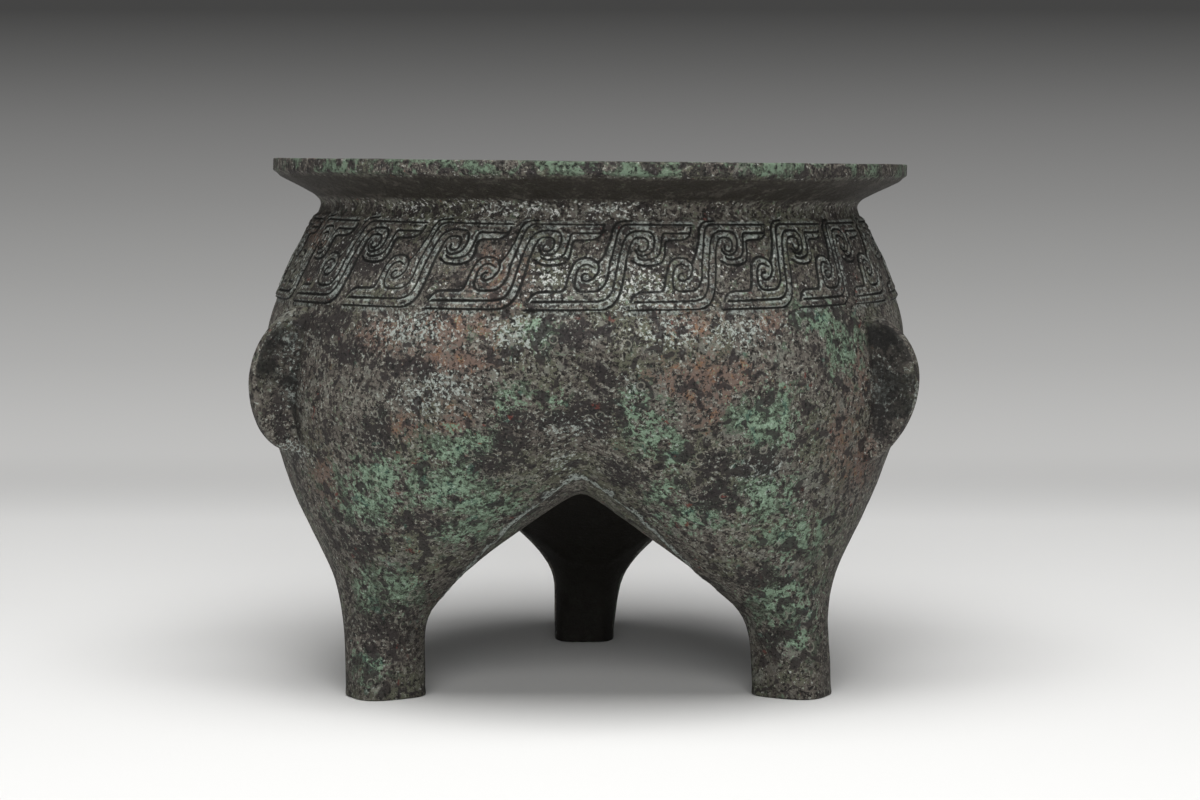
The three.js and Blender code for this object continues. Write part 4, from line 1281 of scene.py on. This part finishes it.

# %% [markdown]
# ## Rim, frieze, legs, flanges and arches
#
# The lip is browner, the grooves hold black dirt, and the ribs are rubbed pale. The rim's underside is dark brown
# with painted shade, and painted shade also darkens the frieze and neck, the vessel's sides and the flange corners.
# Each arch has a thin line of crust, and soot with painted shade covers the vault and the rear leg.

# %% Marked places
base = base.mix(BARE_BRONZE_AND_SHADE, lip_mark * mottle.step(0.47, 0.53) * 0.75)
base = base.mix(SAGE, lip_mark * patch.step(0.50, 0.56) * 0.7)
base = base.mix(MINT, lip_mark * (speck * 0.5 + patch * 0.5).step(0.53, 0.58) * 0.6)
# The rim's underside is dark brown, made darker still as painted shade under the overhang.
base = base.mix(RIM_BROWN_AND_SHADE, under_mark * (0.97 - mottle.step(0.55, 0.65) * 0.3))
base = base.mix(TAUPE, under_mark * (patch * 0.5 + speck * 0.5).step(0.52, 0.60) * 0.45)
# Painted shade from the rim: dark flecks over the frieze, the neck and the rim's underside.
base = base.mix(TAUPE_DARK_AND_SHADE, upper * (1 - lip_mark) * speck.step(0.56, 0.46) * 0.6)
base = base.mix(PALE_CRUST, mark("rib_edge").step(0.35, 0.9) * (dots * 0.6 + patch * 0.4).step(0.45, 0.57) * 0.65)
white_dots = (upper * 0.07 + crust * 0.05 + fine * 0.5 + dots * 0.5).step(0.66, 0.70)
base = base.mix(WHITE_CRUST, (1 - under_mark) * (1 - lip_mark * 0.7) * white_dots * 0.85)
low = 1 - height_above.step(0.02, 0.055)
base = base.mix(TAUPE_DARK_AND_SHADE, low * patch.step(0.42, 0.56) * 0.45)
# Painted shade: the vessel's left and right sides, where they turn from the light, are darkened in mottles.
base = base.mix(TAUPE_DARK_AND_SHADE, across.size().step(0.045, 0.075) * mottle.step(0.42, 0.56) * 0.35)
bubbles = start.node(
    "ShaderNodeTexVoronoi", {"feature": "F1"}, {"Vector": coord, "Scale": 1 / (4.2 * MM)}, output="Distance"
)
bubble_ring = bubbles.step(0.20, 0.24) * (1 - bubbles.step(0.27, 0.31)) * patch.step(0.52, 0.58)
base = base.mix(TAUPE_LIGHT, bubble_ring * (1 - upper) * 0.6)
pits = (fine * 0.5 + speck * 0.5).step(0.47, 0.42)
base = base.mix(PIT_BLACK_AND_SHADE, pits * (1 - under_mark * 0.6) * 0.85)
base = base.mix(PIT_BLACK_AND_SHADE, groove.step(0.08, 0.55) * 0.93)
# Painted shade: black mottles in the corners beside each flange, where it meets its lobe near its tip.
for flange in FLANGES:
    turn = math.radians(flange["azimuth"])
    outward = across * math.cos(turn) + forward * math.sin(turn)
    sideways = (across * math.sin(turn) - forward * math.cos(turn)).size()
    tip = (SHOULDER_HEIGHT - FLANGE_DROP * flange["drop"]) * MM
    near_tip = 1 - (height_above - tip).size().step(0.0115, 0.0165)
    corner = sideways.step(1.2 * MM, 1.7 * MM) * (1 - sideways.step(2.4 * MM, 5.5 * MM))
    corner = corner * outward.step(0.060, 0.070) * near_tip
    base = base.mix(PIT_BLACK_AND_SHADE, corner * (patch * 0.6 + speck * 0.4).step(0.36, 0.52) * 0.9)
radius_here = (across * across + forward * forward).root()
crease = height_above.step(CREASE_HEIGHTS[0] * MM, CREASE_HEIGHTS[1] * MM) * (CREASE_WIDENING * MM)
crease = CREASE_RADIUS * MM + crease + (patch - 0.5) * 0.007
from_crease = (radius_here - crease).size()
crust_line = (1 - from_crease.step(0.4 * MM, 1.1 * MM)) * seam_mark.step(0.05, 0.3)
crust_shade = (1 - from_crease.step(0.8 * MM, 2.4 * MM)) * seam_mark.step(0.05, 0.3)
base = base.mix(PIT_BLACK_AND_SHADE, crust_shade * speck.step(0.44, 0.56) * 0.8)
base = base.mix(PALE_CRUST, crust_line * (dots * 0.5 + fine * 0.5).step(0.43, 0.53) * 0.85)
# Soot with painted shade: near black where the skin faces the vault, strongest on the rear leg.
base = base.mix(SOOT_AND_SHADE, soot_and_shade_mark.step(0.15, 0.8) * 0.97)
tree.links.new(base.socket, bsdf.inputs["Base Color"])
roughness = 0.60 + speck * 0.3
tree.links.new(roughness.socket, bsdf.inputs["Roughness"])
bsdf.inputs["Metallic"].default_value = 0.1
bsdf.inputs["IOR"].default_value = 1.45
bsdf.inputs["Specular IOR Level"].default_value = 0.35
relief = speck * 0.7 + fine * 0.4 + mottle * 0.7 - pits * 0.8
relief = relief * (1 - soot_and_shade_mark * 0.7) * (1 - under_mark * 0.5)
bump = start.node("ShaderNodeBump", None, {"Strength": 0.6, "Distance": 0.0006, "Height": relief})
tree.links.new(bump.socket, bsdf.inputs["Normal"])
mesh.materials.append(material)
print("patina nodes:", len(tree.nodes))

# %% [markdown]
# ## Floor
#
# The vessel stands on a pale paper sweep that curves up behind it. Near the vessel the paper is lit by the lamps,
# and its grey is made lighter or darker with depth as painted light. Its far part glows evenly and darkens upwards,
# a painted light whose grading doesn't depend on the lamps.

# %% Sweep
sweep_points = []
FLOOR_FRONT, BACK_START, BACK_RADIUS, BACK_HEIGHT = -1.6, 0.55, 0.5, 1.9
for k in range(33):
    turn = math.pi / 2 * k / 32
    sweep_points.append((BACK_START + BACK_RADIUS * math.sin(turn), BACK_RADIUS * (1 - math.cos(turn))))
sweep_line = [(FLOOR_FRONT, 0)] + sweep_points + [(BACK_START + BACK_RADIUS, BACK_HEIGHT)]
sweep_mesh = bpy.data.meshes.new("sweep")
vertices = [(side * 2.6, a, b) for a, b in sweep_line for side in (-1, 1)]
faces = [(2 * k, 2 * k + 1, 2 * k + 3, 2 * k + 2) for k in range(len(sweep_line) - 1)]
sweep_mesh.from_pydata(vertices, [], faces)
sweep_mesh.polygons.foreach_set("use_smooth", [True] * len(faces))
sweep = bpy.data.objects.new("sweep", sweep_mesh)
bpy.context.scene.collection.objects.link(sweep)
paper = bpy.data.materials.new("sweep_paper")
paper.use_nodes = True
paper_bsdf = next(n for n in paper.node_tree.nodes if n.type == "BSDF_PRINCIPLED")
paper_start = Socket(paper.node_tree, None)
paper_place = paper_start.node("ShaderNodeTexCoord", output="Object")
paper_parts = paper_start.node("ShaderNodeSeparateXYZ", inputs={"Vector": paper_place}).socket.node
depth = Socket(paper.node_tree, paper_parts.outputs[1])
rise = Socket(paper.node_tree, paper_parts.outputs[2])
# Painted light: how brightly the backdrop glows at each height.
BACK_GLOW_LEVELS = [
    (0.0, 0.515), (0.03, 0.418), (0.068, 0.328), (0.109, 0.246),
    (0.152, 0.174), (0.186, 0.11), (0.218, 0.056),
]
# Painted light: the floor's grey changes with depth in place of the lamps' fall-off.
FLOOR_PAINTED_LIGHT_GREYS = [(-0.2, 0.74), (-0.12, 0.74), (0.0, 0.72), (0.12, 0.71), (0.31, 0.74), (0.55, 0.62)]


def grey_ramp(value, greys):
    low, high = greys[0][0], greys[-1][0]
    stops = [((at - low) / (high - low), (grey, grey * 0.995, grey * 0.98, 1)) for at, grey in greys]
    return paper_start.node("ShaderNodeValToRGB", {"stops": stops}, {"Fac": (value - low) / (high - low)})


far = depth.step(0.30, 0.56)
black = paper_start.node("ShaderNodeRGB")
black.socket.default_value = (0, 0, 0, 1)
floor_painted_light_grey = grey_ramp(depth, FLOOR_PAINTED_LIGHT_GREYS)
paper_start.tree.links.new(floor_painted_light_grey.mix((0, 0, 0), far).socket, paper_bsdf.inputs["Base Color"])
paper_start.tree.links.new(black.mix(grey_ramp(rise, BACK_GLOW_LEVELS), far).socket, paper_bsdf.inputs["Emission Color"])
paper_bsdf.inputs["Emission Strength"].default_value = 1.0
paper_bsdf.inputs["Roughness"].default_value = 0.9
paper_bsdf.inputs["Specular IOR Level"].default_value = 0.1
sweep_mesh.materials.append(paper)
print("strips in the sweep:", len(sweep_mesh.polygons))

# %% [markdown]
# ## Lights
#
# One soft light stands above and a larger one in front, which fills the shadows and shows the
# grooves. Both are far bigger than the vessel, so its shadow has soft edges.

# %% Lights


def area_light(name, place_at, target, size, power):
    data = bpy.data.lights.new(name, "AREA")
    data.shape = "RECTANGLE"
    data.size, data.size_y = size
    data.energy = power
    lamp = bpy.data.objects.new(name, data)
    lamp.location = place_at
    bpy.context.scene.collection.objects.link(lamp)
    lamp.rotation_euler = (Vector(target) - Vector(place_at)).to_track_quat("-Z", "Y").to_euler()
    print(name, "has", power, "watts")


area_light("top_light", (0, -0.30, 1.0), (0, 0, 0.08), (0.9, 0.7), 13)
area_light("front_fill", (0, -1.7, 0.85), (0, 0, 0.08), (1.3, 1.0), 19)
world = bpy.data.worlds.new("studio")
bpy.context.scene.world = world
world.use_nodes = True
world.node_tree.nodes["Background"].inputs["Color"].default_value = (0.85, 0.87, 0.9, 1)
world.node_tree.nodes["Background"].inputs["Strength"].default_value = 0.08

# %% [markdown]
# ## Camera
#
# The camera is level with the rim, so that the mouth shows as a line. Its lens is shifted down
# to take in the feet, which keeps the upright lines upright.

# %% Camera
EYE_DISTANCE = 746
EYE_HEIGHT = 130.2
PICTURE_WIDTH = 1200
camera_data = bpy.data.cameras.new("camera")
camera = bpy.data.objects.new("camera", camera_data)
bpy.context.scene.collection.objects.link(camera)
camera.location = (0, (AXIS_Y - EYE_DISTANCE) * MM, EYE_HEIGHT * MM)
camera.rotation_euler = (math.pi / 2, 0, 0)
camera_data.sensor_width = 36
camera_data.sensor_fit = "HORIZONTAL"
camera_data.lens = 2943 / PICTURE_WIDTH * camera_data.sensor_width
camera_data.shift_x = (600 - 585.5) / PICTURE_WIDTH
camera_data.shift_y = (160 - 400) / PICTURE_WIDTH
camera_data.clip_end = 10
bpy.context.scene.camera = camera
bpy.context.scene.view_settings.view_transform = "Standard"
print("camera lens in mm:", round(camera_data.lens, 1))

# %% [markdown]
